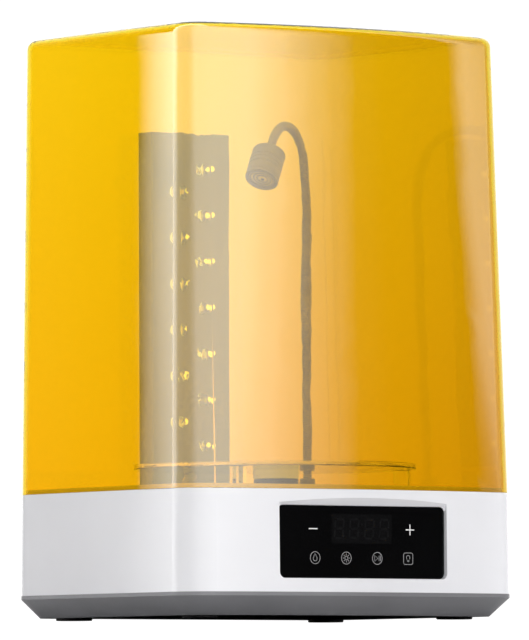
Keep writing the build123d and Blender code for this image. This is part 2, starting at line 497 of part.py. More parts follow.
with BuildPart() as drive_hub:
    with on_drive_axis(HUB_LOW):
        Cylinder(HUB_R, HUB_TOP - HUB_LOW, align=BOTTOM_UP)
    fillet(drive_hub.edges().group_by(Axis.Z)[-1], HUB_ROUND)
    with BuildSketch(Plane.XY.offset(HUB_TOP)):
        with Locations((DRIVE_X, DRIVE_Y)):
            RegularPolygon(HUB_KEY_R, 6)
    extrude(amount=HUB_KEY_TOP - HUB_TOP)
    chamfer(drive_hub.faces().sort_by(Axis.Z)[-1].edges(), HUB_KEY_CHAMFER)
    with on_drive_axis(HUB_LOW):
        Cylinder(SPINDLE_R, SPINDLE_TOP - HUB_LOW, align=BOTTOM_UP, mode=Mode.SUBTRACT)
        Cylinder(SCREW_R, HUB_KEY_TOP - HUB_LOW, align=BOTTOM_UP, mode=Mode.SUBTRACT)
        with PolarLocations(HUB_MAGNET_CIRCLE_R, HUB_MAGNET_COUNT):
            Cylinder(HUB_MAGNET_R, HUB_MAGNET_H, align=BOTTOM_UP, mode=Mode.SUBTRACT)
    with on_drive_axis(HUB_SCREW_SEAT):
        Cylinder(SCREW_HEAD_R + SHANK_CLEARANCE, HUB_KEY_TOP - HUB_SCREW_SEAT, align=BOTTOM_UP,
                 mode=Mode.SUBTRACT)
write(drive_hub, "drive_hub")

with BuildPart() as hub_magnets:
    with on_drive_axis(HUB_LOW):
        with PolarLocations(HUB_MAGNET_CIRCLE_R, HUB_MAGNET_COUNT):
            Cylinder(HUB_MAGNET_R, HUB_MAGNET_H, align=BOTTOM_UP)
write(hub_magnets, "hub_magnets")

with BuildPart() as hub_screw:
    with on_drive_axis(HUB_SCREW_SEAT):
        add(pan_screw(HUB_SCREW_SEAT - SPINDLE_TOP + SPINDLE_THREAD - HUB_SCREW_PLAY))
write(hub_screw, "hub_screw")


# ---------------------------------------------------------------- turntable
BOSS_R, BOSS_ROUND, SOCKET_CLEARANCE = 18.5, 1.0, 0.25
RIM_WIDTH, RIM_HEIGHT = 2.0, 0.8
DISC_ROUND, RIM_ROUND = 0.8, 0.35
GROOVE_RADII, GROOVE_WIDTH, GROOVE_DEPTH = (40.0, 70.0, 98.0), 1.0, 0.6
LEG_ROUND = 1.2

with BuildPart() as turntable_boss:
    with on_drive_axis(HUB_TOP):
        Cylinder(BOSS_R, DISC_LOW - HUB_TOP, align=BOTTOM_UP)
    fillet(turntable_boss.edges().group_by(Axis.Z)[0], BOSS_ROUND)
    with BuildSketch(Plane.XY.offset(HUB_TOP)):
        with Locations((DRIVE_X, DRIVE_Y)):
            RegularPolygon(HUB_KEY_R + SOCKET_CLEARANCE, 6)
    extrude(amount=HUB_KEY_TOP - HUB_TOP + 2 * SOCKET_CLEARANCE, mode=Mode.SUBTRACT)
write(turntable_boss, "turntable_boss")

with BuildPart() as turntable_disc:
    with on_drive_axis(DISC_LOW):
        Cylinder(DISC_R, DISC_TOP + RIM_HEIGHT - DISC_LOW, align=BOTTOM_UP)
    fillet(turntable_disc.edges().group_by(Axis.Z)[0], DISC_ROUND)
    fillet(turntable_disc.edges().group_by(Axis.Z)[-1], RIM_ROUND)
    with on_drive_axis(DISC_TOP):
        Cylinder(DISC_R - RIM_WIDTH, RIM_HEIGHT, align=BOTTOM_UP, mode=Mode.SUBTRACT)
    for radius in GROOVE_RADII:
        with BuildSketch(Plane.XY.offset(DISC_TOP)):
            with Locations((DRIVE_X, DRIVE_Y)):
                Circle(radius + GROOVE_WIDTH / 2)
                Circle(radius - GROOVE_WIDTH / 2, mode=Mode.SUBTRACT)
        extrude(amount=-GROOVE_DEPTH, mode=Mode.SUBTRACT)
write(turntable_disc, "turntable_disc")

with BuildPart() as turntable_legs:
    with on_drive_axis(LEG_LOW):
        with PolarLocations(LEG_CIRCLE_R, LEG_COUNT, start_angle=LEG_START_ANGLE):
            Cylinder(LEG_R, DISC_LOW - LEG_LOW, align=BOTTOM_UP)
    fillet(turntable_legs.edges().group_by(Axis.Z)[0], LEG_ROUND)
write(turntable_legs, "turntable_legs")


# ---------------------------------------------------------------- LED column
LED_BOARD_GAP, LED_BOARD_THICK, LED_BOARD_MARGIN = 3.1, 1.6, 6.0
LED_BOARD_FRONT = COLUMN_FRONT + COLUMN_WALL + LED_BOARD_GAP
LED_CHIP = (3.5, 1.4, 3.5)
COVER_SCREWS = [(x, z) for x in (-31.0, 31.0) for z in (112.0, 249.0, 386.0)]
COLUMN_MID_Z = (SEAM_Z + COLUMN_TOP) / 2
COVER_POST, COLUMN_FLOOR = (9.6, 6.0, 8.0), 3.0
COLUMN_EDGE_R, COLUMN_TOP_R = 1.5, 1.0
COVER_FIT, COVER_SINK, COVER_SINK_R, COVER_HEAD_H, COVER_SCREW = 0.1, 1.4, 2.6, 1.2, 5.5
HOOD_SENSOR = (10.0, 3.0, 8.0)

with BuildPart() as column_housing:
    with Locations((0, COLUMN_FRONT, SEAM_Z)):
        Box(COLUMN_WIDTH, COLUMN_BACK - COVER_THICK - COLUMN_FRONT, COLUMN_TOP - SEAM_Z,
            align=(Align.CENTER, Align.MIN, Align.MIN))
    fillet(column_housing.edges().filter_by(Axis.Z).group_by(Axis.Y)[0], COLUMN_EDGE_R)
    fillet(column_housing.faces().sort_by(Axis.Z)[-1].edges().sort_by(Axis.Y)[:-1], COLUMN_TOP_R)
    with Locations((0, COLUMN_FRONT + COLUMN_WALL, SEAM_Z + COLUMN_FLOOR)):
        Box(COLUMN_WIDTH - 2 * COLUMN_WALL, COLUMN_BACK - COLUMN_FRONT,
            COLUMN_TOP - COLUMN_WALL - SEAM_Z - COLUMN_FLOOR,
            align=(Align.CENTER, Align.MIN, Align.MIN), mode=Mode.SUBTRACT)
    with Locations(*[(x, COLUMN_BACK - COVER_THICK, z) for x, z in COVER_SCREWS]):
        Box(*COVER_POST, align=(Align.CENTER, Align.MAX, Align.CENTER))
    for x, z in COVER_SCREWS:
        with BuildSketch(rear_plane(COLUMN_BACK - COVER_THICK, x, z)):
            Circle(SMALL_SCREW_R)
        extrude(amount=-COVER_POST[1], mode=Mode.SUBTRACT)
    for x, z in LED_SPOTS:
        with BuildSketch(front_plane(COLUMN_FRONT, x, z)):
            Circle(LENS_R)
        extrude(amount=-COLUMN_WALL, mode=Mode.SUBTRACT)
    for x, y in COLUMN_SCREWS:
        with Locations((x, y, SEAM_Z)):
            Cylinder(SCREW_R, COLUMN_FLOOR, align=BOTTOM_UP, mode=Mode.SUBTRACT)
    with Locations((COLUMN_WIRE_HOLE[0], COLUMN_WIRE_HOLE[1], SEAM_Z)):
        Cylinder(COLUMN_WIRE_HOLE[2], COLUMN_FLOOR, align=BOTTOM_UP, mode=Mode.SUBTRACT)
write(column_housing, "column_housing")

with BuildPart() as column_cover:
    with Locations((0, COLUMN_BACK - COVER_THICK, SEAM_Z + COVER_FIT)):
        Box(COLUMN_WIDTH, COVER_THICK - COVER_FIT, COLUMN_TOP - SEAM_Z - 2 * COVER_FIT,
            align=(Align.CENTER, Align.MIN, Align.MIN))
    for x, z in COVER_SCREWS:
        with BuildSketch(rear_plane(COLUMN_BACK, x, z)):
            Circle(SMALL_SCREW_R)
        extrude(amount=-COVER_THICK, mode=Mode.SUBTRACT)
        with BuildSketch(rear_plane(COLUMN_BACK, x, z)):
            Circle(COVER_SINK_R)
        extrude(amount=-COVER_SINK, mode=Mode.SUBTRACT)
write(column_cover, "column_cover")

with BuildPart() as column_screws:
    for x, z in COVER_SCREWS:
        with Locations(Location((x, COLUMN_BACK - COVER_SINK, z), (-90, 0, 0))):
            add(pan_screw(COVER_SCREW, SMALL_SCREW_R, SMALL_HEAD_R, COVER_HEAD_H))
    for x, y in COLUMN_SCREWS:
        with Locations(Location((x, y, DECK_UNDER), (180, 0, 0))):
            add(pan_screw(DECK + COLUMN_FLOOR))
write(column_screws, "column_screws")

with BuildPart() as led_board:
    with Locations((0, LED_BOARD_FRONT, COLUMN_MID_Z)):
        Box(COLUMN_WIDTH - 2 * COLUMN_WALL - 1, LED_BOARD_THICK, COLUMN_TOP - SEAM_Z - 2 * LED_BOARD_MARGIN,
            align=(Align.CENTER, Align.MIN, Align.CENTER))
write(led_board, "led_board")

with BuildPart() as uv_leds:
    with Locations(*[(x, LED_BOARD_FRONT, z) for x, z in LED_SPOTS]):
        Box(*LED_CHIP, align=(Align.CENTER, Align.MAX, Align.CENTER))
write(uv_leds, "uv_leds")

with BuildPart() as led_lenses:
    for x, z in LED_SPOTS:
        with BuildSketch(front_plane(COLUMN_FRONT + COLUMN_WALL, x, z)):
            Circle(LENS_R + LENS_FLANGE)
        extrude(amount=-LENS_FLANGE)
        with BuildSketch(front_plane(COLUMN_FRONT + COLUMN_WALL, x, z)):
            Circle(LENS_R)
        extrude(amount=COLUMN_WALL + LENS_DOME)
    fillet(led_lenses.edges().group_by(Axis.Y)[0], LENS_DOME - 0.1)
write(led_lenses, "led_lenses")

with BuildPart() as hood_sensor:
    with Locations((0, COLUMN_BACK - COVER_THICK - 1, MAGNET_Z)):
        Box(*HOOD_SENSOR, align=(Align.CENTER, Align.MAX, Align.CENTER))
write(hood_sensor, "hood_sensor")


# ---------------------------------------------------------------- gooseneck lamp
SOCKET_R, SOCKET_TOP = 9.0, 110.0
SOCKET_ROUND, SOCKET_TAIL = 1.0, 5.0
PLUG_R, PLUG_TAIL, COLLAR_R, COLLAR_TOP, COLLAR_ROUND = 4.2, 2.0, 6.6, 117.0, 1.2
ARM_DIR = Vector(cos(radians(LAMP_HEADING)), sin(radians(LAMP_HEADING)), 0)
SWEEP_END = (SWEEP_R * (1 - cos(radians(SWEEP_TURN))),
             NECK_STRAIGHT_TOP + SWEEP_R * sin(radians(SWEEP_TURN)))
CROOK_CENTRE = (SWEEP_END[0] + CROOK_R * cos(radians(SWEEP_TURN)),
                SWEEP_END[1] - CROOK_R * sin(radians(SWEEP_TURN)))
HEAD_TILT = SWEEP_TURN + CROOK_TURN  # from straight up, towards the heading
HEAD_START = 10.0  # straight stretch of neck before the head


def lamp_plane():
    """The upright plane that the neck bends in: its x is the reach, its y is the height."""
    return Plane(origin=(LAMP_X, LAMP_Y, 0), x_dir=ARM_DIR, z_dir=ARM_DIR.cross(Vector(0, 0, 1)))


def crook_point(turn):
    """Reach and height of the neck's centre line after a turn of this many degrees from upright."""
    return (CROOK_CENTRE[0] - CROOK_R * cos(radians(turn)), CROOK_CENTRE[1] + CROOK_R * sin(radians(turn)))


def neck_heading(turn):
    return (sin(radians(turn)), cos(radians(turn)))


def neck_tube(path):
    """A round tube of the neck's diameter along a path in the lamp plane."""
    with BuildPart(mode=Mode.PRIVATE) as tube:
        with BuildSketch(path.line ^ 0):
            Circle(NECK_R)
        sweep(path=path.line)
    return tube.part


def crook_arc(first, last):
    """A stretch of the crook between two headings, as a path."""
    with BuildLine(lamp_plane(), mode=Mode.PRIVATE) as path:
        ThreePointArc(crook_point(first), crook_point((first + last) / 2), crook_point(last))
    return path


def on_lamp_axis(z):
    return Locations((LAMP_X, LAMP_Y, z))


with BuildPart() as lamp_socket:
    with on_lamp_axis(SEAM_Z):
        Cylinder(SOCKET_R, SOCKET_TOP - SEAM_Z, align=BOTTOM_UP)
    fillet(lamp_socket.edges().group_by(Axis.Z)[-1], SOCKET_ROUND)
    with on_lamp_axis(DECK_UNDER - SOCKET_TAIL):
        Cylinder(SOCKET_HOLE_R - RUNNING_FIT, DECK + SOCKET_TAIL, align=BOTTOM_UP)
        Cylinder(PLUG_R + RUNNING_FIT, SOCKET_TOP - DECK_UNDER + SOCKET_TAIL, align=BOTTOM_UP,
                 mode=Mode.SUBTRACT)
write(lamp_socket, "lamp_socket")

with BuildPart() as lamp_plug:
    with on_lamp_axis(DECK_UNDER - PLUG_TAIL):
        Cylinder(PLUG_R, SOCKET_TOP - DECK_UNDER + PLUG_TAIL, align=BOTTOM_UP)
    with on_lamp_axis(SOCKET_TOP):
        Cylinder(COLLAR_R, COLLAR_TOP - SOCKET_TOP, align=BOTTOM_UP)
    fillet(lamp_plug.edges().group_by(Axis.Z)[-1], COLLAR_ROUND)
write(lamp_plug, "lamp_plug")

with BuildPart() as neck_lower:
    with on_lamp_axis(COLLAR_TOP):
        Cylinder(NECK_R, LOWER_FLEX[0] - COLLAR_TOP, align=BOTTOM_UP)
write(neck_lower, "neck_lower")

with BuildPart() as neck_lower_bend:
    with on_lamp_axis(LOWER_FLEX[0]):
        Cylinder(NECK_R, LOWER_FLEX[1] - LOWER_FLEX[0], align=BOTTOM_UP)
write(neck_lower_bend, "neck_lower_bend")

ARM_CROOK_END = SWEEP_TURN + CROOK_SPLIT[0]
BEND_CROOK_END = ARM_CROOK_END + CROOK_SPLIT[1]

with BuildLine(lamp_plane()) as arm_path:
    Line((0, LOWER_FLEX[1]), (0, NECK_STRAIGHT_TOP))
    ThreePointArc((0, NECK_STRAIGHT_TOP),
                  (SWEEP_R * (1 - cos(radians(SWEEP_TURN / 2))),
                   NECK_STRAIGHT_TOP + SWEEP_R * sin(radians(SWEEP_TURN / 2))), SWEEP_END)
    ThreePointArc(SWEEP_END, crook_point((SWEEP_TURN + ARM_CROOK_END) / 2), crook_point(ARM_CROOK_END))
with BuildPart() as neck_upper:
    add(neck_tube(arm_path))
write(neck_upper, "neck_upper")

with BuildPart() as neck_upper_bend:
    add(neck_tube(crook_arc(ARM_CROOK_END, BEND_CROOK_END)))
write(neck_upper_bend, "neck_upper_bend")

tip_start, tip_way = crook_point(HEAD_TILT), neck_heading(HEAD_TILT)
with BuildLine(lamp_plane()) as tip_path:
    ThreePointArc(crook_point(BEND_CROOK_END), crook_point((BEND_CROOK_END + HEAD_TILT) / 2), tip_start)
    Line(tip_start, (tip_start[0] + HEAD_START * tip_way[0], tip_start[1] + HEAD_START * tip_way[1]))
with BuildPart() as neck_tip:
    add(neck_tube(tip_path))
write(neck_tip, "neck_tip")

head_base = lamp_plane().from_local_coords(
    Vector(tip_start[0] + HEAD_START * tip_way[0], tip_start[1] + HEAD_START * tip_way[1], 0))
head_axis = ARM_DIR * tip_way[0] + Vector(0, 0, tip_way[1])
head_side = ARM_DIR.cross(Vector(0, 0, 1))


def head_plane(depth):
    """A plane across the lamp head, this far from its back, facing out of the lens."""
    return Plane(origin=head_base + head_axis * depth, x_dir=head_side, z_dir=head_axis)


HEAD_WALL, HEAD_CAP, HEAD_ROUND = 1.6, 3.0, 1.5
BEZEL_LENGTH, BEZEL_LIP, LAMP_LENS_R, LENS_SEAT, LAMP_LENS_THICK = 2.5, 1.0, 11.8, 1.2, 2.0
LAMP_BOARD_THICK, LAMP_CHIP_SIZE, LAMP_CHIP_THICK = 1.6, 4.5, 1.2
REFLECTOR_BACK_R, REFLECTOR_WALL = 6.0, 0.8
LENS_FACE = HEAD_LENGTH - BEZEL_LENGTH + LENS_SEAT - LAMP_LENS_THICK

with BuildPart() as head_shell:
    with BuildSketch(head_plane(0)):
        Circle(HEAD_R)
    extrude(amount=HEAD_LENGTH - BEZEL_LENGTH)
    fillet(head_shell.faces().sort_by(Axis(tuple(head_base), tuple(head_axis)))[0].edges(), HEAD_ROUND)
    with BuildSketch(head_plane(HEAD_CAP)):
        Circle(HEAD_R - HEAD_WALL)
    extrude(amount=HEAD_LENGTH, mode=Mode.SUBTRACT)
write(head_shell, "head_shell")

with BuildPart() as head_bezel:
    with BuildSketch(head_plane(HEAD_LENGTH - BEZEL_LENGTH)):
        Circle(HEAD_R)
        Circle(LAMP_LENS_R - BEZEL_LIP, mode=Mode.SUBTRACT)
    extrude(amount=BEZEL_LENGTH)
    with BuildSketch(head_plane(HEAD_LENGTH - BEZEL_LENGTH)):
        Circle(LAMP_LENS_R)
    extrude(amount=LENS_SEAT, mode=Mode.SUBTRACT)
write(head_bezel, "head_bezel")

with BuildPart() as head_lens:
    with BuildSketch(head_plane(LENS_FACE)):
        Circle(LAMP_LENS_R)
    extrude(amount=LAMP_LENS_THICK)
write(head_lens, "head_lens")

with BuildPart() as head_reflector:
    with BuildSketch(head_plane(HEAD_CAP + LAMP_BOARD_THICK)):
        Circle(REFLECTOR_BACK_R)
    with BuildSketch(head_plane(LENS_FACE)):
        Circle(LAMP_LENS_R)
    loft()
    with BuildSketch(head_plane(HEAD_CAP + LAMP_BOARD_THICK)):
        Circle(REFLECTOR_BACK_R - REFLECTOR_WALL)
    with BuildSketch(head_plane(LENS_FACE)):
        Circle(LAMP_LENS_R - REFLECTOR_WALL)
    loft(mode=Mode.SUBTRACT)
write(head_reflector, "head_reflector")

with BuildPart() as head_led_board:
    with BuildSketch(head_plane(HEAD_CAP)):
        Circle(HEAD_R - HEAD_WALL - RUNNING_FIT)
    extrude(amount=LAMP_BOARD_THICK)
    with BuildSketch(head_plane(HEAD_CAP + LAMP_BOARD_THICK)):
        Rectangle(LAMP_CHIP_SIZE, LAMP_CHIP_SIZE)
    extrude(amount=LAMP_CHIP_THICK)
write(head_led_board, "head_led_board")


# ---------------------------------------------------------------- rear: switch and power inlet
SWITCH_FLANGE, SWITCH_DEPTH, FLANGE_THICK, FLANGE_CHAMFER = (15.0, 21.0), 12.0, 1.8, 0.5
SWITCH_ROOM, SWITCH_FIT = 9.3, 0.2  # depth of the rocker's space, play in the wall
SWITCH_TERMINAL, TERMINAL_PITCH = (4.8, 6.0, 0.8), 5.5
NUT_R, NUT_THICK = 8.5, 2.5
ROCKER_SIZE, ROCKER_PLAY = (8.4, 14.4), (0.8, 1.6)
ROCKER_OUT, ROCKER_DIP, ROCKER_IN, ROCKER_BELLY = 2.2, 0.9, -1.0, -3.8  # profile about the pivot
ROCKER_AXIS_Y, ROCKER_EDGE_R = REAR_FACE - 1.0, 0.5
PIVOT_R, PIVOT_REACH = 0.9, 1.2
INLET_BORE_R, INLET_DEPTH, INLET_PIN_R = 2.8, 9.5, 1.05
INLET_FLANGE_R, INLET_FLANGE_THICK, INLET_CHAMFER, INLET_LENGTH = 7.2, 1.6, 0.4, 13.0
INLET_FIT = 0.1

with BuildPart() as switch_body:
    with BuildSketch(rear_plane(REAR_FACE, SWITCH_X, REAR_Z)):
        Rectangle(*SWITCH_FLANGE)
    extrude(amount=FLANGE_THICK)
    chamfer(switch_body.faces().sort_by(Axis.Y)[-1].edges(), FLANGE_CHAMFER)
    with BuildSketch(rear_plane(REAR_FACE, SWITCH_X, REAR_Z)):
        Rectangle(SWITCH_CUT[0] - SWITCH_FIT, SWITCH_CUT[1] - SWITCH_FIT)
    extrude(amount=-SWITCH_DEPTH)
    with BuildSketch(rear_plane(REAR_FACE + FLANGE_THICK, SWITCH_X, REAR_Z)):
        Rectangle(ROCKER_SIZE[0] + ROCKER_PLAY[0], ROCKER_SIZE[1] + ROCKER_PLAY[1])
    extrude(amount=-SWITCH_ROOM, mode=Mode.SUBTRACT)
    with BuildSketch(Plane.YZ.offset(SWITCH_X)):
        with Locations((ROCKER_AXIS_Y, REAR_Z)):
            Circle(PIVOT_R + RUNNING_FIT)
    extrude(amount=ROCKER_SIZE[0] / 2 + PIVOT_REACH + 2 * RUNNING_FIT, both=True, mode=Mode.SUBTRACT)
    for z in (-TERMINAL_PITCH, 0, TERMINAL_PITCH):
        with Locations((SWITCH_X, REAR_FACE - SWITCH_DEPTH, REAR_Z + z)):
            Box(*SWITCH_TERMINAL, align=(Align.CENTER, Align.MAX, Align.CENTER))
write(switch_body, "switch_body")


def by_rocker(out, up):
    """A point of the upright plane across the switch, measured from the rocker's pivot."""
    return ROCKER_AXIS_Y + out, REAR_Z + up


with BuildPart() as power_rocker:
    half = ROCKER_SIZE[1] / 2
    with BuildSketch(Plane.YZ.offset(SWITCH_X - ROCKER_SIZE[0] / 2)):
        with BuildLine():
            ThreePointArc(by_rocker(ROCKER_OUT, -half), by_rocker(ROCKER_DIP, 0), by_rocker(ROCKER_OUT, half))
            Line(by_rocker(ROCKER_OUT, half), by_rocker(ROCKER_IN, half))
            ThreePointArc(by_rocker(ROCKER_IN, half), by_rocker(ROCKER_BELLY, 0), by_rocker(ROCKER_IN, -half))
            Line(by_rocker(ROCKER_IN, -half), by_rocker(ROCKER_OUT, -half))
        make_face()
    extrude(amount=ROCKER_SIZE[0], dir=(1, 0, 0))
    fillet(power_rocker.edges().filter_by(Axis.X).group_by(Axis.Y)[-1], ROCKER_EDGE_R)
    with BuildSketch(Plane.YZ.offset(SWITCH_X)):
        with Locations((ROCKER_AXIS_Y, REAR_Z)):
            Circle(PIVOT_R)
    extrude(amount=ROCKER_SIZE[0] / 2 + PIVOT_REACH, both=True)
power_rocker.part = power_rocker.part.rotate(
    Axis((SWITCH_X, ROCKER_AXIS_Y, REAR_Z), (1, 0, 0)), -ROCKER_TILT)
write(power_rocker, "power_rocker")

with BuildPart() as power_inlet:
    with BuildSketch(rear_plane(REAR_FACE, INLET_X, REAR_Z)):
        Circle(INLET_FLANGE_R)
    extrude(amount=INLET_FLANGE_THICK)
    chamfer(power_inlet.faces().sort_by(Axis.Y)[-1].edges(), INLET_CHAMFER)
    with BuildSketch(rear_plane(REAR_FACE, INLET_X, REAR_Z)):
        Circle(INLET_CUT_R - INLET_FIT)
    extrude(amount=-INLET_LENGTH)
    with BuildSketch(rear_plane(REAR_FACE + INLET_FLANGE_THICK, INLET_X, REAR_Z)):
        Circle(INLET_BORE_R)
        Circle(INLET_PIN_R, mode=Mode.SUBTRACT)
    extrude(amount=-INLET_DEPTH - INLET_FLANGE_THICK, mode=Mode.SUBTRACT)
    with BuildSketch(rear_plane(REAR_FACE + INLET_FLANGE_THICK, INLET_X, REAR_Z)):
        Circle(INLET_BORE_R)
    extrude(amount=-INLET_FLANGE_THICK, mode=Mode.SUBTRACT)
write(power_inlet, "power_inlet")

with BuildPart() as panel_nuts:
    with BuildSketch(rear_plane(REAR_FACE - REAR_WALL, INLET_X, REAR_Z)):
        RegularPolygon(NUT_R, 6)
        Circle(INLET_CUT_R - INLET_FIT, mode=Mode.SUBTRACT)
    extrude(amount=-NUT_THICK)
    with BuildSketch(Plane.XY.offset(DECK_UNDER - NUT_THICK)):
        with Locations((LAMP_X, LAMP_Y)):
            RegularPolygon(NUT_R, 6)
            Circle(SOCKET_HOLE_R, mode=Mode.SUBTRACT)
    extrude(amount=NUT_THICK)
write(panel_nuts, "panel_nuts")


# ---------------------------------------------------------------- main board and leads
BOARD_TOP = MAIN_BOARD_LOW + MAIN_BOARD_SIZE[2]
MAIN_BOARD_SCREW, TOUCH_BOARD_GRIP = 10.0, 3.0
CAPACITOR_ROUND, FIN_COUNT, FIN_GAP, FIN_BASE = 0.6, 5, 3.0, 4.0
CAPACITORS = [(-34.0, 14.0, 5.0, 16.0), (-20.0, 14.0, 5.0, 16.0), (-34.0, -2.0, 4.0, 11.0)]
CHIPS = [(2.0, -6.0, 12.0, 12.0, 1.6), (26.0, -10.0, 8.0, 10.0, 1.6), (-14.0, -14.0, 7.0, 6.0, 1.4)]
SOCKETS = [(x, 28.0, 12.0, 6.0, 8.0) for x in (-24.0, -4.0, 16.0)] + [(20.0, -29.0, 18.0, 6.0, 8.0)]
HEAT_SINK = (36.0, 12.0, 14.0, 26.0, 16.0)

with BuildPart() as main_board:
    with BuildSketch(Plane.XY.offset(MAIN_BOARD_LOW)):
        with Locations((MAIN_BOARD_X, MAIN_BOARD_Y)):
            RectangleRounded(MAIN_BOARD_SIZE[0], MAIN_BOARD_SIZE[1], MAIN_BOARD_CORNER)
        with Locations(*MAIN_BOARD_POSTS):
            Circle(SMALL_SCREW_R, mode=Mode.SUBTRACT)
    extrude(amount=MAIN_BOARD_SIZE[2])
write(main_board, "main_board")

with BuildPart() as board_screws:
    with Locations(*[(x, y, BOARD_TOP) for x, y in MAIN_BOARD_POSTS]):
        add(pan_screw(MAIN_BOARD_SCREW, SMALL_SCREW_R, SMALL_HEAD_R, SMALL_HEAD_H))
    for x, z in BOARD_POSTS:
        with Locations(Location((x, TOUCH_BOARD_FRONT + TOUCH_BOARD_THICK, z), (-90, 0, 0))):
            add(pan_screw(TOUCH_BOARD_THICK + TOUCH_BOARD_GRIP, SMALL_SCREW_R, SMALL_HEAD_R,
                          SMALL_HEAD_H))
write(board_screws, "board_screws")

with BuildPart() as board_capacitors:
    for x, y, r, h in CAPACITORS:
        with Locations((MAIN_BOARD_X + x, MAIN_BOARD_Y + y, BOARD_TOP)):
            Cylinder(r, h, align=BOTTOM_UP)
    fillet([face.edges() for face in board_capacitors.faces().filter_by(Axis.Z)
            if face.center().Z > BOARD_TOP], CAPACITOR_ROUND)
write(board_capacitors, "board_capacitors")

with BuildPart() as board_components:
    for x, y, w, d, h in CHIPS + SOCKETS:
        with Locations((MAIN_BOARD_X + x, MAIN_BOARD_Y + y, BOARD_TOP)):
            Box(w, d, h, align=BOTTOM_UP)
write(board_components, "board_components")

with BuildPart() as heat_sink:
    x, y, w, d, h = HEAT_SINK
    with Locations((MAIN_BOARD_X + x, MAIN_BOARD_Y + y, BOARD_TOP)):
        Box(w, d, h, align=BOTTOM_UP)
    with Locations((MAIN_BOARD_X + x, MAIN_BOARD_Y + y, BOARD_TOP + FIN_BASE)):
        with GridLocations(1, d / FIN_COUNT, 1, FIN_COUNT):
            Box(w, FIN_GAP, h, align=BOTTOM_UP, mode=Mode.SUBTRACT)
write(heat_sink, "heat_sink")


def lead(points, radius, bend):
    """A round bundle of wires along a filleted route."""
    with BuildPart(mode=Mode.PRIVATE) as run:
        with BuildLine() as route:
            FilletPolyline(*points, radius=bend)
        with BuildSketch(route.line ^ 0):
            Circle(radius)
        sweep(path=route.line)
    return run.part


BOARD_SOCKET_TOP = BOARD_TOP + SOCKETS[0][4]
LEAD_R, LAMP_LEAD_R = 2.0, 1.6
COLUMN_LEAD_Z, LAMP_LEAD_Z, PANEL_LEAD_Z, POWER_LEAD_Z = 60.0, 55.0, 48.0, 42.0
COLUMN_LEAD_BEND, LAMP_LEAD_BEND, PANEL_LEAD_BEND, POWER_LEAD_BEND = 14.0, 9.0, 10.0, 6.0
COLUMN_LEAD_END = SEAM_Z + 4.0
PANEL_LEAD_X, PANEL_LEAD_RUN, POWER_LEAD_Y = 46.0, 25.0, 96.0


def socket_place(number):
    """The x and y of a connector on the main board."""
    return MAIN_BOARD_X + SOCKETS[number][0], MAIN_BOARD_Y + SOCKETS[number][1]


with BuildPart() as column_lead:
    x, y = socket_place(0)
    add(lead([(x, y, BOARD_SOCKET_TOP), (x, y, COLUMN_LEAD_Z), (0, COLUMN_WIRE_HOLE[1], COLUMN_LEAD_Z),
              (0, COLUMN_WIRE_HOLE[1], COLUMN_LEAD_END)], LEAD_R, COLUMN_LEAD_BEND))
write(column_lead, "column_lead")

with BuildPart() as lamp_lead:
    x, y = socket_place(2)
    add(lead([(x, y, BOARD_SOCKET_TOP), (x, y, LAMP_LEAD_Z), (LAMP_X, LAMP_Y, LAMP_LEAD_Z),
              (LAMP_X, LAMP_Y, DECK_UNDER - SOCKET_TAIL)], LAMP_LEAD_R, LAMP_LEAD_BEND))
write(lamp_lead, "lamp_lead")

with BuildPart() as panel_lead:
    x, y = socket_place(3)
    board_back = TOUCH_BOARD_FRONT + TOUCH_BOARD_THICK
    add(lead([(x, y, BOARD_SOCKET_TOP), (x, y, PANEL_LEAD_Z),
              (PANEL_LEAD_X, TOUCH_BOARD_FRONT + PANEL_LEAD_RUN, PANEL_LEAD_Z),
              (PANEL_LEAD_X, board_back, PANEL_LEAD_Z)], LEAD_R, PANEL_LEAD_BEND))
write(panel_lead, "panel_lead")

with BuildPart() as power_lead:
    x, y = socket_place(1)
    add(lead([(x, y, BOARD_SOCKET_TOP), (x, y, POWER_LEAD_Z), (INLET_X, POWER_LEAD_Y, POWER_LEAD_Z),
              (INLET_X, POWER_LEAD_Y, REAR_Z), (INLET_X, REAR_FACE - INLET_LENGTH, REAR_Z)],
             LEAD_R, POWER_LEAD_BEND))
write(power_lead, "power_lead")
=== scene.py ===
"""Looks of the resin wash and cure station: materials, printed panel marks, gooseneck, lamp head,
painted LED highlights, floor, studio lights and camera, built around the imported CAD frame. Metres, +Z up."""

from math import cos, pi, radians, sin

import bpy
from mathutils import Matrix, Vector


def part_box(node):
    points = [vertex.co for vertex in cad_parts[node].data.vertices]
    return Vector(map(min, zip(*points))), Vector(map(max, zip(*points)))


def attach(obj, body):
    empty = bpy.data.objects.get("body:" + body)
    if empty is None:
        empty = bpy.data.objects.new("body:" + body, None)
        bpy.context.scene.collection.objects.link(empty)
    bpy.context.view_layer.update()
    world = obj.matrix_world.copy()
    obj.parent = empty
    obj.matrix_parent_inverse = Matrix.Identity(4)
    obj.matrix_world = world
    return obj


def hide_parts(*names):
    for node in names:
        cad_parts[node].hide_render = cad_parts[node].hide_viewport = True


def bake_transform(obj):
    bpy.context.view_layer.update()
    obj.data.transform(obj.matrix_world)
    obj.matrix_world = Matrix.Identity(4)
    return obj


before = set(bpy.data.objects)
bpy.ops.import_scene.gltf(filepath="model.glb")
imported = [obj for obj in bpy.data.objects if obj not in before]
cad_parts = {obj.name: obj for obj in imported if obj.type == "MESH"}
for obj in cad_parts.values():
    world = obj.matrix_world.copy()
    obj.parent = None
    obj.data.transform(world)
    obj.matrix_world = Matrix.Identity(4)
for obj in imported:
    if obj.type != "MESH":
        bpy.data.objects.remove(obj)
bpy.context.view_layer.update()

MM = 0.001
UP = Vector((0, 0, 1))


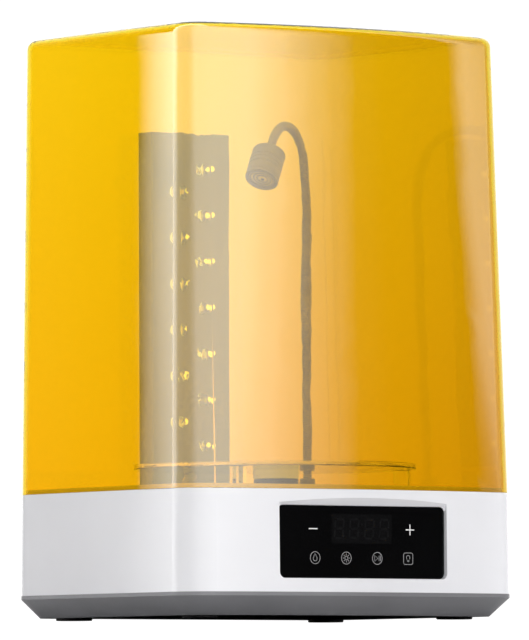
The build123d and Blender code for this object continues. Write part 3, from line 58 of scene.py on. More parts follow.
# ------------------------------------------------------------------ shader building
def put(tree, kind, inputs=None, **settings):
    """Adds a shader node, sets its properties and the values of its named or numbered inputs."""
    node = tree.nodes.new(kind)
    for key, value in settings.items():
        setattr(node, key, value)
    for key, value in (inputs or {}).items():
        node.inputs[key].default_value = value
    return node


def wire(tree, *pairs):
    for source, target in pairs:
        tree.links.new(source, target)


def rgba(colour):
    return (*colour, 1.0)


def new_group(name, inputs, outputs):
    """An empty shader node group with named inputs (name, type, default) and outputs (name, type)."""
    tree = bpy.data.node_groups.new(name, "ShaderNodeTree")
    for label, kind, default in inputs:
        socket = tree.interface.new_socket(label, in_out="INPUT", socket_type="NodeSocket" + kind)
        socket.default_value = default
    for label, kind in outputs:
        tree.interface.new_socket(label, in_out="OUTPUT", socket_type="NodeSocket" + kind)
    return tree, put(tree, "NodeGroupInput"), put(tree, "NodeGroupOutput")


def object_noise(tree, scale_socket, detail, roughness=0.5, stretch=None):
    """Noise over the piece's own coordinates; stretch scales the three axes first."""
    place = put(tree, "ShaderNodeTexCoord").outputs["Object"]
    if stretch:
        mapping = put(tree, "ShaderNodeMapping", {"Scale": stretch})
        wire(tree, (place, mapping.inputs["Vector"]))
        place = mapping.outputs["Vector"]
    noise = put(tree, "ShaderNodeTexNoise", {"Detail": detail, "Roughness": roughness})
    wire(tree, (place, noise.inputs["Vector"]), (scale_socket, noise.inputs["Scale"]))
    return noise.outputs["Fac"]


def make_mould_grain():
    """Fine spark-eroded mould texture, as a height."""
    tree, given, out = new_group("mould_grain", [("Scale", "Float", 1500.0)], [("Height", "Float")])
    wire(tree, (object_noise(tree, given.outputs["Scale"], 3.0, 0.65), out.inputs["Height"]))
    return tree


def make_tone_drift():
    """Slow drift between two close tones over a surface."""
    tree, given, out = new_group("tone_drift", [("Tone", "Color", (0.8, 0.8, 0.8, 1)),
                                                ("Other Tone", "Color", (0.7, 0.7, 0.7, 1)),
                                                ("Scale", "Float", 12.0)], [("Color", "Color")])
    slow = object_noise(tree, given.outputs["Scale"], 2.0)
    spread = put(tree, "ShaderNodeMapRange", {"From Min": 0.3, "From Max": 0.7})
    mix = put(tree, "ShaderNodeMix", data_type="RGBA")
    wire(tree, (slow, spread.inputs["Value"]), (spread.outputs["Result"], mix.inputs["Factor"]),
         (given.outputs["Tone"], mix.inputs["A"]), (given.outputs["Other Tone"], mix.inputs["B"]),
         (mix.outputs["Result"], out.inputs["Color"]))
    return tree


def make_handling():
    """Roughness that varies with wiping and handling: broad smears with fine specks."""
    tree, given, out = new_group("handling", [("Low", "Float", 0.3), ("High", "Float", 0.4),
                                              ("Scale", "Float", 20.0)], [("Roughness", "Float")])
    broad = object_noise(tree, given.outputs["Scale"], 4.0, 0.6, stretch=(1.0, 1.0, 0.45))
    fine_scale = put(tree, "ShaderNodeMath", {1: 14.0}, operation="MULTIPLY")
    wire(tree, (given.outputs["Scale"], fine_scale.inputs[0]))
    fine = object_noise(tree, fine_scale.outputs[0], 2.0)
    both = put(tree, "ShaderNodeMix", {"Factor": 0.3}, data_type="FLOAT")
    spread = put(tree, "ShaderNodeMapRange", {"From Min": 0.32, "From Max": 0.68})
    wire(tree, (broad, both.inputs["A"]), (fine, both.inputs["B"]),
         (both.outputs["Result"], spread.inputs["Value"]), (given.outputs["Low"], spread.inputs["To Min"]),
         (given.outputs["High"], spread.inputs["To Max"]),
         (spread.outputs["Result"], out.inputs["Roughness"]))
    return tree


def make_tool_lines():
    """Fine parallel lines left by drawing, turning or brushing: a height and a mask."""
    tree, given, out = new_group("tool_lines", [("Scale", "Float", 900.0), ("Along", "Vector", (1, 1, 1))],
                                 [("Height", "Float"), ("Mask", "Float")])
    place = put(tree, "ShaderNodeTexCoord").outputs["Object"]
    squeeze = put(tree, "ShaderNodeVectorMath", operation="MULTIPLY")
    noise = put(tree, "ShaderNodeTexNoise", {"Detail": 2.0, "Roughness": 0.6})
    bright = put(tree, "ShaderNodeMapRange", {"From Min": 0.35, "From Max": 0.65})
    wire(tree, (place, squeeze.inputs[0]), (given.outputs["Along"], squeeze.inputs[1]),
         (squeeze.outputs[0], noise.inputs["Vector"]), (given.outputs["Scale"], noise.inputs["Scale"]),
         (noise.outputs["Fac"], out.inputs["Height"]), (noise.outputs["Fac"], bright.inputs["Value"]),
         (bright.outputs["Result"], out.inputs["Mask"]))
    return tree


DUST_SPECK_SCALE = 260.0


def make_settled_dust():
    """A thin veil of dust on faces that look up."""
    tree, given, out = new_group("settled_dust", [("Color", "Color", (0.5, 0.5, 0.5, 1)),
                                                  ("Dust", "Color", (0.7, 0.68, 0.64, 1)),
                                                  ("Amount", "Float", 0.1)], [("Color", "Color")])
    facing = put(tree, "ShaderNodeSeparateXYZ")
    speck_scale = put(tree, "ShaderNodeValue")
    speck_scale.outputs[0].default_value = DUST_SPECK_SCALE
    specks = object_noise(tree, speck_scale.outputs[0], 5.0, 0.7)
    level = put(tree, "ShaderNodeMapRange", {"From Min": 0.75, "From Max": 1.0})
    patch = put(tree, "ShaderNodeMapRange", {"From Min": 0.35, "From Max": 0.75})
    both = put(tree, "ShaderNodeMath", operation="MULTIPLY")
    much = put(tree, "ShaderNodeMath", operation="MULTIPLY")
    mix = put(tree, "ShaderNodeMix", data_type="RGBA")
    wire(tree, (put(tree, "ShaderNodeNewGeometry").outputs["Normal"], facing.inputs[0]),
         (facing.outputs["Z"], level.inputs["Value"]), (specks, patch.inputs["Value"]),
         (level.outputs["Result"], both.inputs[0]), (patch.outputs["Result"], both.inputs[1]),
         (both.outputs[0], much.inputs[0]), (given.outputs["Amount"], much.inputs[1]),
         (much.outputs[0], mix.inputs["Factor"]), (given.outputs["Color"], mix.inputs["A"]),
         (given.outputs["Dust"], mix.inputs["B"]), (mix.outputs["Result"], out.inputs["Color"]))
    return tree


GROUPS = {"grain": make_mould_grain(), "drift": make_tone_drift(), "handling": make_handling(),
          "lines": make_tool_lines(), "dust": make_settled_dust()}


def place_group(tree, name, inputs=None):
    return put(tree, "ShaderNodeGroup", inputs, node_tree=GROUPS[name])


def new_material(name):
    """A node material holding one Principled BSDF that feeds its output."""
    material = bpy.data.materials.new(name)
    material.use_nodes = True
    tree = material.node_tree
    return material, tree, tree.nodes["Principled BSDF"]


def bump_from(tree, shader, height, distance):
    bump = put(tree, "ShaderNodeBump", {"Distance": distance, "Strength": 1.0})
    wire(tree, (height, bump.inputs["Height"]), (bump.outputs["Normal"], shader.inputs["Normal"]))


COAT_ROUGHNESS, HANDLING_SCALE, METAL_DRIFT_SCALE = 0.06, 22.0, 40.0
TOOL_LINE_SCALE, TOOL_LINE_DEPTH, ACRYLIC_WIPE_SCALE = 900.0, 0.000008, 9.0


def moulded(name, tone, other, rough, grain=(1500.0, 0.00002), drift=14.0, dust=0.0, coat=0.0, specular=0.5,
            sheen=0.0):
    """Moulded plastic or rubber: drifting tone, handled roughness and a fine mould grain."""
    material, tree, shader = new_material(name)
    colour = place_group(tree, "drift", {"Tone": rgba(tone), "Other Tone": rgba(other), "Scale": drift})
    colour_out = colour.outputs["Color"]
    if dust:
        veil = place_group(tree, "dust", {"Amount": dust})
        wire(tree, (colour_out, veil.inputs["Color"]))
        colour_out = veil.outputs["Color"]
    wipe = place_group(tree, "handling", {"Low": rough[0], "High": rough[1], "Scale": HANDLING_SCALE})
    skin = place_group(tree, "grain", {"Scale": grain[0]})
    wire(tree, (colour_out, shader.inputs["Base Color"]),
         (wipe.outputs["Roughness"], shader.inputs["Roughness"]))
    bump_from(tree, shader, skin.outputs["Height"], grain[1])
    shader.inputs["Specular IOR Level"].default_value = specular
    shader.inputs["Coat Weight"].default_value = coat
    shader.inputs["Coat Roughness"].default_value = COAT_ROUGHNESS
    shader.inputs["Sheen Weight"].default_value = sheen
    return material


def metal(name, tone, other, rough, along, metallic=1.0):
    """Bare or plated metal with fine tool lines."""
    material, tree, shader = new_material(name)
    colour = place_group(tree, "drift", {"Tone": rgba(tone), "Other Tone": rgba(other),
                                         "Scale": METAL_DRIFT_SCALE})
    lines = place_group(tree, "lines", {"Scale": TOOL_LINE_SCALE, "Along": along})
    spread = put(tree, "ShaderNodeMapRange", {"To Min": rough[0], "To Max": rough[1]})
    wire(tree, (colour.outputs["Color"], shader.inputs["Base Color"]),
         (lines.outputs["Mask"], spread.inputs["Value"]),
         (spread.outputs["Result"], shader.inputs["Roughness"]))
    bump_from(tree, shader, lines.outputs["Height"], TOOL_LINE_DEPTH)
    shader.inputs["Metallic"].default_value = metallic
    return material


def clear_plastic(name, tone, other, ior, rough, shadow_tint, drift=6.0):
    """Clear or tinted plastic with real wall thickness; shadow rays pass it as through a filter."""
    material, tree, shader = new_material(name)
    colour = place_group(tree, "drift", {"Tone": rgba(tone), "Other Tone": rgba(other), "Scale": drift})
    wipe = place_group(tree, "handling", {"Low": rough[0], "High": rough[1],
                                           "Scale": ACRYLIC_WIPE_SCALE})
    shader.inputs["Transmission Weight"].default_value = 1.0
    shader.inputs["IOR"].default_value = ior
    filtered = put(tree, "ShaderNodeBsdfTransparent", {"Color": rgba(shadow_tint)})
    choose = put(tree, "ShaderNodeMixShader")
    light = put(tree, "ShaderNodeLightPath")
    output = tree.nodes["Material Output"]
    wire(tree, (colour.outputs["Color"], shader.inputs["Base Color"]),
         (wipe.outputs["Roughness"], shader.inputs["Roughness"]),
         (light.outputs["Is Shadow Ray"], choose.inputs["Fac"]),
         (shader.outputs["BSDF"], choose.inputs[1]), (filtered.outputs["BSDF"], choose.inputs[2]),
         (choose.outputs["Shader"], output.inputs["Surface"]))
    return material


def amber_hood():
    """Amber acrylic, wiped in broad strokes: its tone darkens towards the right as painted shade, and
    darkens towards the hem.
    """
    material = clear_plastic("amber_acrylic", AMBER, AMBER_NEAR, 1.49, (0.008, 0.03), (1.0, 0.97, 0.86))
    tree, shader = material.node_tree, material.node_tree.nodes["Principled BSDF"]
    drift = shader.inputs["Base Color"].links[0].from_socket
    place = put(tree, "ShaderNodeSeparateXYZ")
    low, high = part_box("hood")
    side = put(tree, "ShaderNodeMapRange", {"From Min": low.x, "From Max": high.x})
    hem = put(tree, "ShaderNodeMapRange", {"From Min": high.z, "From Max": low.z})
    # painted shade: the amber is darkened towards the hood's right side
    painted_right_shade = put(tree, "ShaderNodeMix", data_type="RGBA", blend_type="MULTIPLY")
    painted_right_shade.inputs["B"].default_value = rgba(AMBER_RIGHT_PAINTED_SHADE)
    hemmed = put(tree, "ShaderNodeMix", data_type="RGBA", blend_type="MULTIPLY")
    hemmed.inputs["B"].default_value = rgba(AMBER_HEM_TINT)
    wire(tree, (put(tree, "ShaderNodeTexCoord").outputs["Object"], place.inputs[0]),
         (place.outputs["X"], side.inputs["Value"]), (place.outputs["Z"], hem.inputs["Value"]),
         (side.outputs["Result"], painted_right_shade.inputs["Factor"]), (drift, painted_right_shade.inputs["A"]),
         (hem.outputs["Result"], hemmed.inputs["Factor"]), (painted_right_shade.outputs["Result"], hemmed.inputs["A"]),
         (hemmed.outputs["Result"], shader.inputs["Base Color"]))
    return material


def circuit_board(name, mask, track, pad):
    """Solder mask over copper tracks, with a finer field of pads."""
    material, tree, shader = new_material(name)
    place = put(tree, "ShaderNodeTexCoord").outputs["Object"]
    cells = put(tree, "ShaderNodeTexVoronoi", {"Scale": 240.0}, feature="DISTANCE_TO_EDGE",
                distance="EUCLIDEAN")
    tracks = put(tree, "ShaderNodeTexBrick", {"Scale": 90.0, "Mortar Size": 0.06, "Color1": rgba(mask),
                                             "Color2": rgba([c * 0.85 for c in mask]),
                                             "Mortar": rgba(track)})
    spots = put(tree, "ShaderNodeMapRange", {"From Min": 0.30, "From Max": 0.34})
    mix = put(tree, "ShaderNodeMix", data_type="RGBA")
    mix.inputs["B"].default_value = rgba(pad)
    wipe = place_group(tree, "handling", {"Low": 0.3, "High": 0.45, "Scale": 40.0})
    wire(tree, (place, cells.inputs["Vector"]), (place, tracks.inputs["Vector"]),
         (cells.outputs["Distance"], spots.inputs["Value"]), (spots.outputs["Result"], mix.inputs["Factor"]),
         (tracks.outputs["Color"], mix.inputs["A"]), (mix.outputs["Result"], shader.inputs["Base Color"]),
         (wipe.outputs["Roughness"], shader.inputs["Roughness"]))
    bump_from(tree, shader, tracks.outputs["Fac"], 0.00003)
    return material


def glow(name, tone, other, strength):
    """A moulded finish that glows faintly: painted light for LEDs that are not lit, the warm spot of a die
    shining a little through its lens and the highlight beads on the domes.
    """
    material = moulded(name, tone, other, (0.3, 0.5), grain=(3000.0, 0.00001), drift=300.0)
    shader = material.node_tree.nodes["Principled BSDF"]
    shader.inputs["Emission Color"].default_value = rgba(tone)
    shader.inputs["Emission Strength"].default_value = strength
    return material


AMBER, AMBER_NEAR = (0.99, 0.765, 0.02), (0.98, 0.755, 0.017)
# tints multiplied into the amber: painted shade towards the right, and a darker tone towards the hem
AMBER_RIGHT_PAINTED_SHADE, AMBER_HEM_TINT = (0.80, 0.75, 0.7), (0.975, 0.875, 0.85)
ALONG_X, ALONG_Z, TURNED = (0.05, 1, 1), (1, 1, 0.03), (1, 1, 1)

FINISH = {
    "amber": amber_hood(),
    "clear": clear_plastic("clear_acrylic", (0.97, 0.985, 0.98), (0.94, 0.97, 0.965), 1.49, (0.01, 0.06),
                           (0.92, 0.95, 0.94)),
    "lens": clear_plastic("lens_silicone", (0.97, 0.97, 0.96), (0.92, 0.94, 0.95), 1.45, (0.02, 0.08),
                          (0.95, 0.95, 0.95), drift=90.0),
    "white": moulded("white_housing", (0.84, 0.84, 0.872), (0.81, 0.81, 0.842), (0.10, 0.15),
                     grain=(1700.0, 0.000004), dust=0.12, specular=0.22),
    "tray": moulded("dark_tray", (0.165, 0.165, 0.175), (0.14, 0.14, 0.149), (0.42, 0.55),
                    grain=(1300.0, 0.00006), dust=0.1),
    "rubber": moulded("black_rubber", (0.016, 0.016, 0.017), (0.026, 0.026, 0.026), (0.7, 0.9),
                      grain=(2200.0, 0.00005), sheen=0.1),
    "gloss_black": moulded("panel_gloss", (0.0012, 0.0012, 0.0014), (0.002, 0.002, 0.0023), (0.04, 0.07),
                           grain=(400.0, 0.000001), specular=0.12),
    "print_white": moulded("white_print", (0.93, 0.93, 0.93), (0.85, 0.85, 0.85), (0.4, 0.55), drift=300.0),
    "print_grey": moulded("grey_print", (0.44, 0.44, 0.45), (0.37, 0.37, 0.38), (0.4, 0.55), drift=300.0),
    "digit": moulded("unlit_digit", (0.0065, 0.0065, 0.007), (0.005, 0.005, 0.0055), (0.05, 0.08),
                     drift=300.0, specular=0.12),
    "window": moulded("display_window", (0.003, 0.003, 0.0033), (0.0038, 0.0038, 0.0042), (0.05, 0.08),
                      specular=0.12),
    "column": moulded("column_paint", (0.345, 0.375, 0.40), (0.315, 0.345, 0.37), (0.22, 0.3),
                      grain=(1500.0, 0.00001), drift=9.0, specular=0.8),
    "hub": moulded("hub_plastic", (0.04, 0.04, 0.043), (0.055, 0.055, 0.058), (0.35, 0.5),
                   grain=(1500.0, 0.00003), dust=0.15),
    "boss": moulded("boss_plastic", (0.74, 0.74, 0.72), (0.68, 0.68, 0.66), (0.3, 0.42)),
    "lamp": metal("lamp_anodised", (0.31, 0.30, 0.26), (0.25, 0.24, 0.21), (0.4, 0.52), TURNED,
                  metallic=0.35),
    "neck": metal("neck_steel", (0.40, 0.38, 0.32), (0.30, 0.285, 0.24), (0.36, 0.5), TURNED, metallic=0.4),
    "steel": metal("turned_steel", (0.60, 0.60, 0.62), (0.50, 0.50, 0.52), (0.2, 0.36), ALONG_Z),
    "plate": metal("zinc_plate", (0.62, 0.62, 0.60), (0.50, 0.51, 0.52), (0.3, 0.5), ALONG_X),
    "race": metal("ground_race", (0.66, 0.67, 0.69), (0.58, 0.59, 0.61), (0.1, 0.2), ALONG_Z),
    "aluminium": metal("extruded_aluminium", (0.74, 0.75, 0.77), (0.64, 0.65, 0.67), (0.3, 0.45), ALONG_Z),
    "bright": metal("plated_reflector", (0.88, 0.88, 0.90), (0.82, 0.82, 0.84), (0.05, 0.12), TURNED),
    "black_screw": metal("black_oxide", (0.05, 0.05, 0.052), (0.03, 0.03, 0.03), (0.35, 0.5), TURNED),
    "green_board": circuit_board("green_board", (0.018, 0.11, 0.045), (0.03, 0.19, 0.08),
                                 (0.55, 0.50, 0.36)),
    "white_board": circuit_board("white_board", (0.78, 0.79, 0.77), (0.70, 0.71, 0.69), (0.62, 0.58, 0.45)),
    "part_black": moulded("component_epoxy", (0.03, 0.03, 0.032), (0.045, 0.045, 0.048), (0.45, 0.6)),
    "sleeve": moulded("capacitor_sleeve", (0.02, 0.025, 0.09), (0.03, 0.035, 0.11), (0.2, 0.3)),
    "wire": moulded("wire_sleeve", (0.02, 0.02, 0.021), (0.035, 0.035, 0.036), (0.4, 0.55),
                    grain=(700.0, 0.00008)),
    "switch": moulded("switch_plastic", (0.018, 0.018, 0.019), (0.026, 0.026, 0.028), (0.22, 0.34)),
    "opal": moulded("opal_lens", (0.66, 0.64, 0.54), (0.58, 0.56, 0.47), (0.16, 0.26),
                    grain=(900.0, 0.00003), coat=0.6),
    # painted light: the LED dies glow faintly though the LEDs are not lit, a warm highlight seen in each
    # lens
    "die": glow("uv_die", (0.98, 0.86, 0.55), (0.92, 0.78, 0.42), 0.2),
    # painted highlight: glowing beads that stand in for the reflection on each LED dome
    "painted_highlight": glow("painted_led_highlight_glow", (0.95, 0.96, 0.98), (0.88, 0.90, 0.94), 0.8),
}

NODE_FINISH = {
    "amber": ["hood"],
    "clear": ["turntable_disc", "turntable_legs"],
    "lens": ["led_lenses", "head_lens"],
    "white": ["upper_housing"],
    "tray": ["lower_tray"],
    "rubber": ["rubber_feet", "shaft_seal"],
    "gloss_black": ["panel_glass"],
    "window": ["display_module"],
    "column": ["column_housing", "column_cover"],
    "hub": ["drive_hub", "lamp_socket"],
    "boss": ["turntable_boss"],
    "lamp": ["lamp_plug", "head_shell", "head_bezel"],
    "neck": ["neck_lower", "neck_lower_bend", "neck_upper", "neck_upper_bend", "neck_tip"],
    "steel": ["spindle", "motor_shaft", "gearbox", "motor", "touch_springs"],
    "plate": ["bearing_retainer", "motor_bracket", "board_screws", "drive_screws", "column_screws",
              "hub_screw", "panel_nuts"],
    "race": ["bearing_outer_race", "bearing_inner_race", "bearing_balls", "hub_magnets", "hood_magnet"],
    "aluminium": ["shaft_coupling", "heat_sink"],
    "bright": ["head_reflector"],
    "black_screw": ["case_screws"],
    "green_board": ["touch_board", "main_board"],
    "white_board": ["led_board", "head_led_board"],
    "part_black": ["board_components", "hood_sensor"],
    "sleeve": ["board_capacitors"],
    "wire": ["column_lead", "lamp_lead", "panel_lead", "power_lead"],
    "switch": ["switch_body", "power_rocker", "power_inlet"],
    "die": ["uv_leds"],
}


def dress_nodes():
    for finish, names in NODE_FINISH.items():
        for name in names:
            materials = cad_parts[name].data.materials
            materials.clear()
            materials.append(FINISH[finish])


# ------------------------------------------------------------------ mesh building
def new_piece(name, vertices, faces, finish, body, smooth=True):
    """A mesh piece with the given finish, riding on a body when one is given."""
    mesh = bpy.data.meshes.new(name)
    mesh.from_pydata([tuple(v) for v in vertices], [], faces)
    mesh.validate()
    if smooth:
        mesh.polygons.foreach_set("use_smooth", [True] * len(mesh.polygons))
    piece = bpy.data.objects.new(name, mesh)
    bpy.context.scene.collection.objects.link(piece)
    piece.data.materials.append(FINISH[finish])
    if body:
        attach(piece, body)
    return piece


class Solids:
    """Collects the vertices and faces of several closed solids of one piece."""

    def __init__(self):
        self.vertices, self.faces = [], []

    def rings(self, rings, closed=False):
        """Skins a run of equal rings; the ends are capped unless the run closes on itself."""
        start, count = len(self.vertices), len(rings[0])
        for ring in rings:
            self.vertices.extend(ring)
        last = len(rings) if closed else len(rings) - 1
        for i in range(last):
            a, b = start + i * count, start + ((i + 1) % len(rings)) * count
            for j in range(count):
                k = (j + 1) % count
                self.faces.append((a + j, a + k, b + k, b + j))
        if not closed:
            self.faces.append(tuple(range(start + count - 1, start - 1, -1)))
            end = start + (len(rings) - 1) * count
            self.faces.append(tuple(range(end, end + count)))

    def slab(self, outline, lift, thick, place):
        """An upright plate: a flat outline, moved from its plane by lift to lift + thick."""
        self.rings([[place(u, v, height) for u, v in outline] for height in (lift, lift + thick)])

    def piece(self, name, finish, body, slot, smooth=True):
        return new_piece(name, self.vertices, self.faces, finish, body, smooth)


def lathe(solids, profile, base, axis, side, segments, radius_at=None):
    """Turns a profile of (depth, radius) about an axis; radius_at may cut a pattern into it."""
    other = axis.cross(side)
    rings = []
    for depth, radius in profile:
        ring = []
        for i in range(segments):
            angle = 2 * pi * i / segments
            r = radius_at(depth, angle, radius) if radius_at else radius
            ring.append(base + axis * depth + (side * cos(angle) + other * sin(angle)) * r)
        rings.append(ring)
    solids.rings(rings)


# ------------------------------------------------------------------ panel print
PANEL_LOW, PANEL_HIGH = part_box("panel_glass")
PANEL_MIDDLE = (PANEL_LOW.x + PANEL_HIGH.x) / 2
PANEL_TOP = PANEL_HIGH.z
INK = 0.05 * MM


def on_panel(u, v, out):
    """A point on the panel glass: u right of its middle, v above the floor, out towards the front."""
    return Vector((PANEL_MIDDLE + u, PANEL_LOW.y - out, v))


def circle_points(cx, cz, radius, count=40):
    angles = [2 * pi * i / count for i in range(count)]
    return [(cx + radius * cos(a), cz + radius * sin(a)) for a in angles]


def stroke(solids, points, width, closed=False):
    """A printed line of constant width along flat points."""
    count = len(points)
    left, right = [], []
    for i, (x, z) in enumerate(points):
        before = points[(i - 1) % count] if closed or i > 0 else points[i]
        after = points[(i + 1) % count] if closed or i < count - 1 else points[i]
        way = Vector((after[0] - before[0], after[1] - before[1])).normalized()
        left.append((x - way.y * width / 2, z + way.x * width / 2))
        right.append((x + way.y * width / 2, z - way.x * width / 2))
    quads = [(left[i], right[i]) for i in range(count)]
    rings = [[on_panel(*a, 0), on_panel(*b, 0), on_panel(*b, INK), on_panel(*a, INK)] for a, b in quads]
    solids.rings(rings, closed)


def droplet(cx, cz, size):
    """A pointed drop: a round belly that closes in a tip."""
    belly = [(cx + size * cos(a), cz - 0.3 * size + size * sin(a)) for a in
             [radians(-210 + 240 * i / 18) for i in range(19)]]
    return belly + [(cx, cz + 1.7 * size)]


KEY_X, KEY_DROP, KEY_ARM, KEY_PEN = 47.5 * MM, 18.3 * MM, 4.2 * MM, 0.78 * MM
ROW_DROP, RING_R, FINE_PEN = 41.1 * MM, 4.75 * MM, 0.34 * MM
WASH_X, CURE_X, RUN_X, LAMP_X = [x * MM for x in (-45.6, -15.2, 15.2, 45.6)]
DROP_SIZE, SUN_R, SUN_RAYS, SUN_RAY_FROM, SUN_RAY_TO = 1.9 * MM, 1.5 * MM, 8, 2.3, 3.5
ARROW_BACK, ARROW_TIP, ARROW_HALF = 2.6 * MM, 0.6 * MM, 2.4 * MM
BAR_OFFSETS, BAR_HALF = (1.7, 3.1), 2.2 * MM
KEY_HALF, KEY_CORNER = 4.55 * MM, 1.7 * MM
BULB_R, BULB_RISE, CAP_DROPS, CAP_HALF = 1.7 * MM, 0.9 * MM, (1.3, 2.2), 1.0 * MM


def plus_and_minus():
    key_z = PANEL_TOP - KEY_DROP
    bold = Solids()
    stroke(bold, [(-KEY_X - KEY_ARM, key_z), (-KEY_X + KEY_ARM, key_z)], KEY_PEN)
    stroke(bold, [(KEY_X - KEY_ARM, key_z), (KEY_X + KEY_ARM, key_z)], KEY_PEN)
    stroke(bold, [(KEY_X, key_z + KEY_PEN / 2), (KEY_X, key_z + KEY_ARM)], KEY_PEN)
    stroke(bold, [(KEY_X, key_z - KEY_PEN / 2), (KEY_X, key_z - KEY_ARM)], KEY_PEN)
    bold.piece("panel_plus_minus", "print_white", "base", "panel_black", smooth=False)


def sun_mark(fine, x, z):
    stroke(fine, circle_points(x, z, SUN_R, 20), FINE_PEN, closed=True)
    for i in range(SUN_RAYS):
        way = Vector((cos(pi * i / 4), sin(pi * i / 4)))
        ray = [(x + way.x * r * MM, z + way.y * r * MM) for r in (SUN_RAY_FROM, SUN_RAY_TO)]
        stroke(fine, ray, FINE_PEN)


def run_mark(fine, x, z):
    """An arrow head followed by two upright bars."""
    arrow = [(x - ARROW_BACK, z + ARROW_HALF), (x + ARROW_TIP, z), (x - ARROW_BACK, z - ARROW_HALF)]
    stroke(fine, arrow, FINE_PEN, closed=True)
    for bar in BAR_OFFSETS:
        stroke(fine, [(x + bar * MM, z + BAR_HALF), (x + bar * MM, z - BAR_HALF)], FINE_PEN)


def lamp_mark(fine, x, z):
    """A light bulb in a square with round corners."""
    frame_line = []
    for quarter in range(4):
        cx = (KEY_HALF - KEY_CORNER) * (1 if quarter in (0, 3) else -1)
        cz = (KEY_HALF - KEY_CORNER) * (1 if quarter in (0, 1) else -1)
        frame_line += [(x + cx + KEY_CORNER * cos(a), z + cz + KEY_CORNER * sin(a)) for a in
                       [pi / 2 * (quarter + i / 5) for i in range(6)]]
    stroke(fine, frame_line, FINE_PEN, closed=True)
    bulb = [(x + BULB_R * cos(a), z + BULB_RISE + BULB_R * sin(a)) for a in
            [radians(-50 + 280 * i / 16) for i in range(17)]]
    stroke(fine, bulb, FINE_PEN)
    for drop in CAP_DROPS:
        stroke(fine, [(x - CAP_HALF, z - drop * MM), (x + CAP_HALF, z - drop * MM)], FINE_PEN)


def key_symbols():
    row_z = PANEL_TOP - ROW_DROP
    fine = Solids()
    for x in (WASH_X, CURE_X, RUN_X):
        stroke(fine, circle_points(x, row_z, RING_R), FINE_PEN, closed=True)
    stroke(fine, droplet(WASH_X, row_z, DROP_SIZE), FINE_PEN, closed=True)
    sun_mark(fine, CURE_X, row_z)
    run_mark(fine, RUN_X, row_z)
    lamp_mark(fine, LAMP_X, row_z)
    fine.piece("panel_key_symbols", "print_grey", "base", "panel_black", smooth=False)


def segment_digit(solids, cx, cz, width, height, slant, bar):
    """Seven unlit segments of one digit as slim hexagonal bars."""
    half_h = height / 2
    spots = [(0, half_h, 0), (0, 0, 0), (0, -half_h, 0),
             (-width / 2, half_h / 2, 1), (width / 2, half_h / 2, 1),
             (-width / 2, -half_h / 2, 1), (width / 2, -half_h / 2, 1)]
    for x, z, upright in spots:
        length = (half_h if upright else width) * 0.43
        shape = [(-length, 0), (-length + bar / 2, bar / 2), (length - bar / 2, bar / 2), (length, 0),
                 (length - bar / 2, -bar / 2), (-length + bar / 2, -bar / 2)]
        if upright:
            shape = [(-b, a) for a, b in shape]
        outline = [(cx + x + a + (z + b) * slant, cz + z + b) for a, b in shape]
        solids.slab(outline, 0, INK, on_panel)


DISPLAY_DROP, DISPLAY_HALF_W, DISPLAY_HALF_H = 18.0 * MM, 29.5 * MM, 11.5 * MM
DIGIT_W, DIGIT_H, DIGIT_SLANT, SEGMENT_BAR, COLON_R = 8.2 * MM, 15.0 * MM, 0.09, 1.7 * MM, 0.85 * MM


def display_digits():
    """The dark display behind the glass: a faint pane and four unlit digits with a colon."""
    centre_z = PANEL_TOP - DISPLAY_DROP
    half_w, half_h = DISPLAY_HALF_W, DISPLAY_HALF_H
    pane = Solids()
    pane.slab([(-half_w, centre_z - half_h), (half_w, centre_z - half_h), (half_w, centre_z + half_h),
               (-half_w, centre_z + half_h)], 0, INK / 3, on_panel)
    pane.piece("display_pane", "window", "base", "display_dark", smooth=False)
    unlit = Solids()
    for x in (-22.0, -7.4, 7.4, 22.0):
        segment_digit(unlit, x * MM, centre_z, DIGIT_W, DIGIT_H, DIGIT_SLANT, SEGMENT_BAR)
    for z in (-3.4, 3.4):
        unlit.slab(circle_points(0, centre_z + z * MM, COLON_R, 16), 0, INK, on_panel)
    unlit.piece("display_digits", "digit", "base", "display_dark", smooth=False)


# ------------------------------------------------------------------ gooseneck lamp
PLUG_LOW, PLUG_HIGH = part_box("lamp_plug")
LAMP_FOOT = Vector(((PLUG_LOW.x + PLUG_HIGH.x) / 2, (PLUG_LOW.y + PLUG_HIGH.y) / 2, 0))
LAMP_HEADING = radians(210.7)
REACH = Vector((cos(LAMP_HEADING), sin(LAMP_HEADING), 0))
ACROSS = REACH.cross(UP)
NECK_LOW, NECK_STRAIGHT_TOP = PLUG_HIGH.z, 334 * MM
SWEEP_R, SWEEP_TURN = 170 * MM, radians(14)
CROOK_R, CROOK_TURN = 36 * MM, radians(131)
HEAD_START = 10 * MM
HEAD_UNIT = 28.4 / 27 * MM  # the lamp head's profiles are drawn 27 units long
NECK_R, RIB_PITCH, RIB_DEPTH = 3.85 * MM, 1.5 * MM, 0.35 * MM
STRAIGHT = NECK_STRAIGHT_TOP - NECK_LOW
SWEEP_LENGTH, CROOK_LENGTH = SWEEP_R * SWEEP_TURN, CROOK_R * CROOK_TURN
UPPER_BEND_FROM, UPPER_BEND_TURN = radians(40), radians(50)


def neck_at(run):
    """Centre point and direction of the neck at a length along it from the lamp plug."""
    reach, height, turn = 0.0, NECK_LOW + min(run, STRAIGHT), 0.0
    left = run - STRAIGHT
    for radius, whole in ((SWEEP_R, SWEEP_TURN), (CROOK_R, CROOK_TURN)):
        if left <= 0:
            break
        step = min(left / radius, whole)
        reach += radius * (cos(turn) - cos(turn + step))
        height += radius * (sin(turn + step) - sin(turn))
        turn += step
        left -= radius * whole
    way = REACH * sin(turn) + UP * cos(turn)
    point = LAMP_FOOT + REACH * reach + UP * height
    if left > 0:
        point += way * left
    return point, way


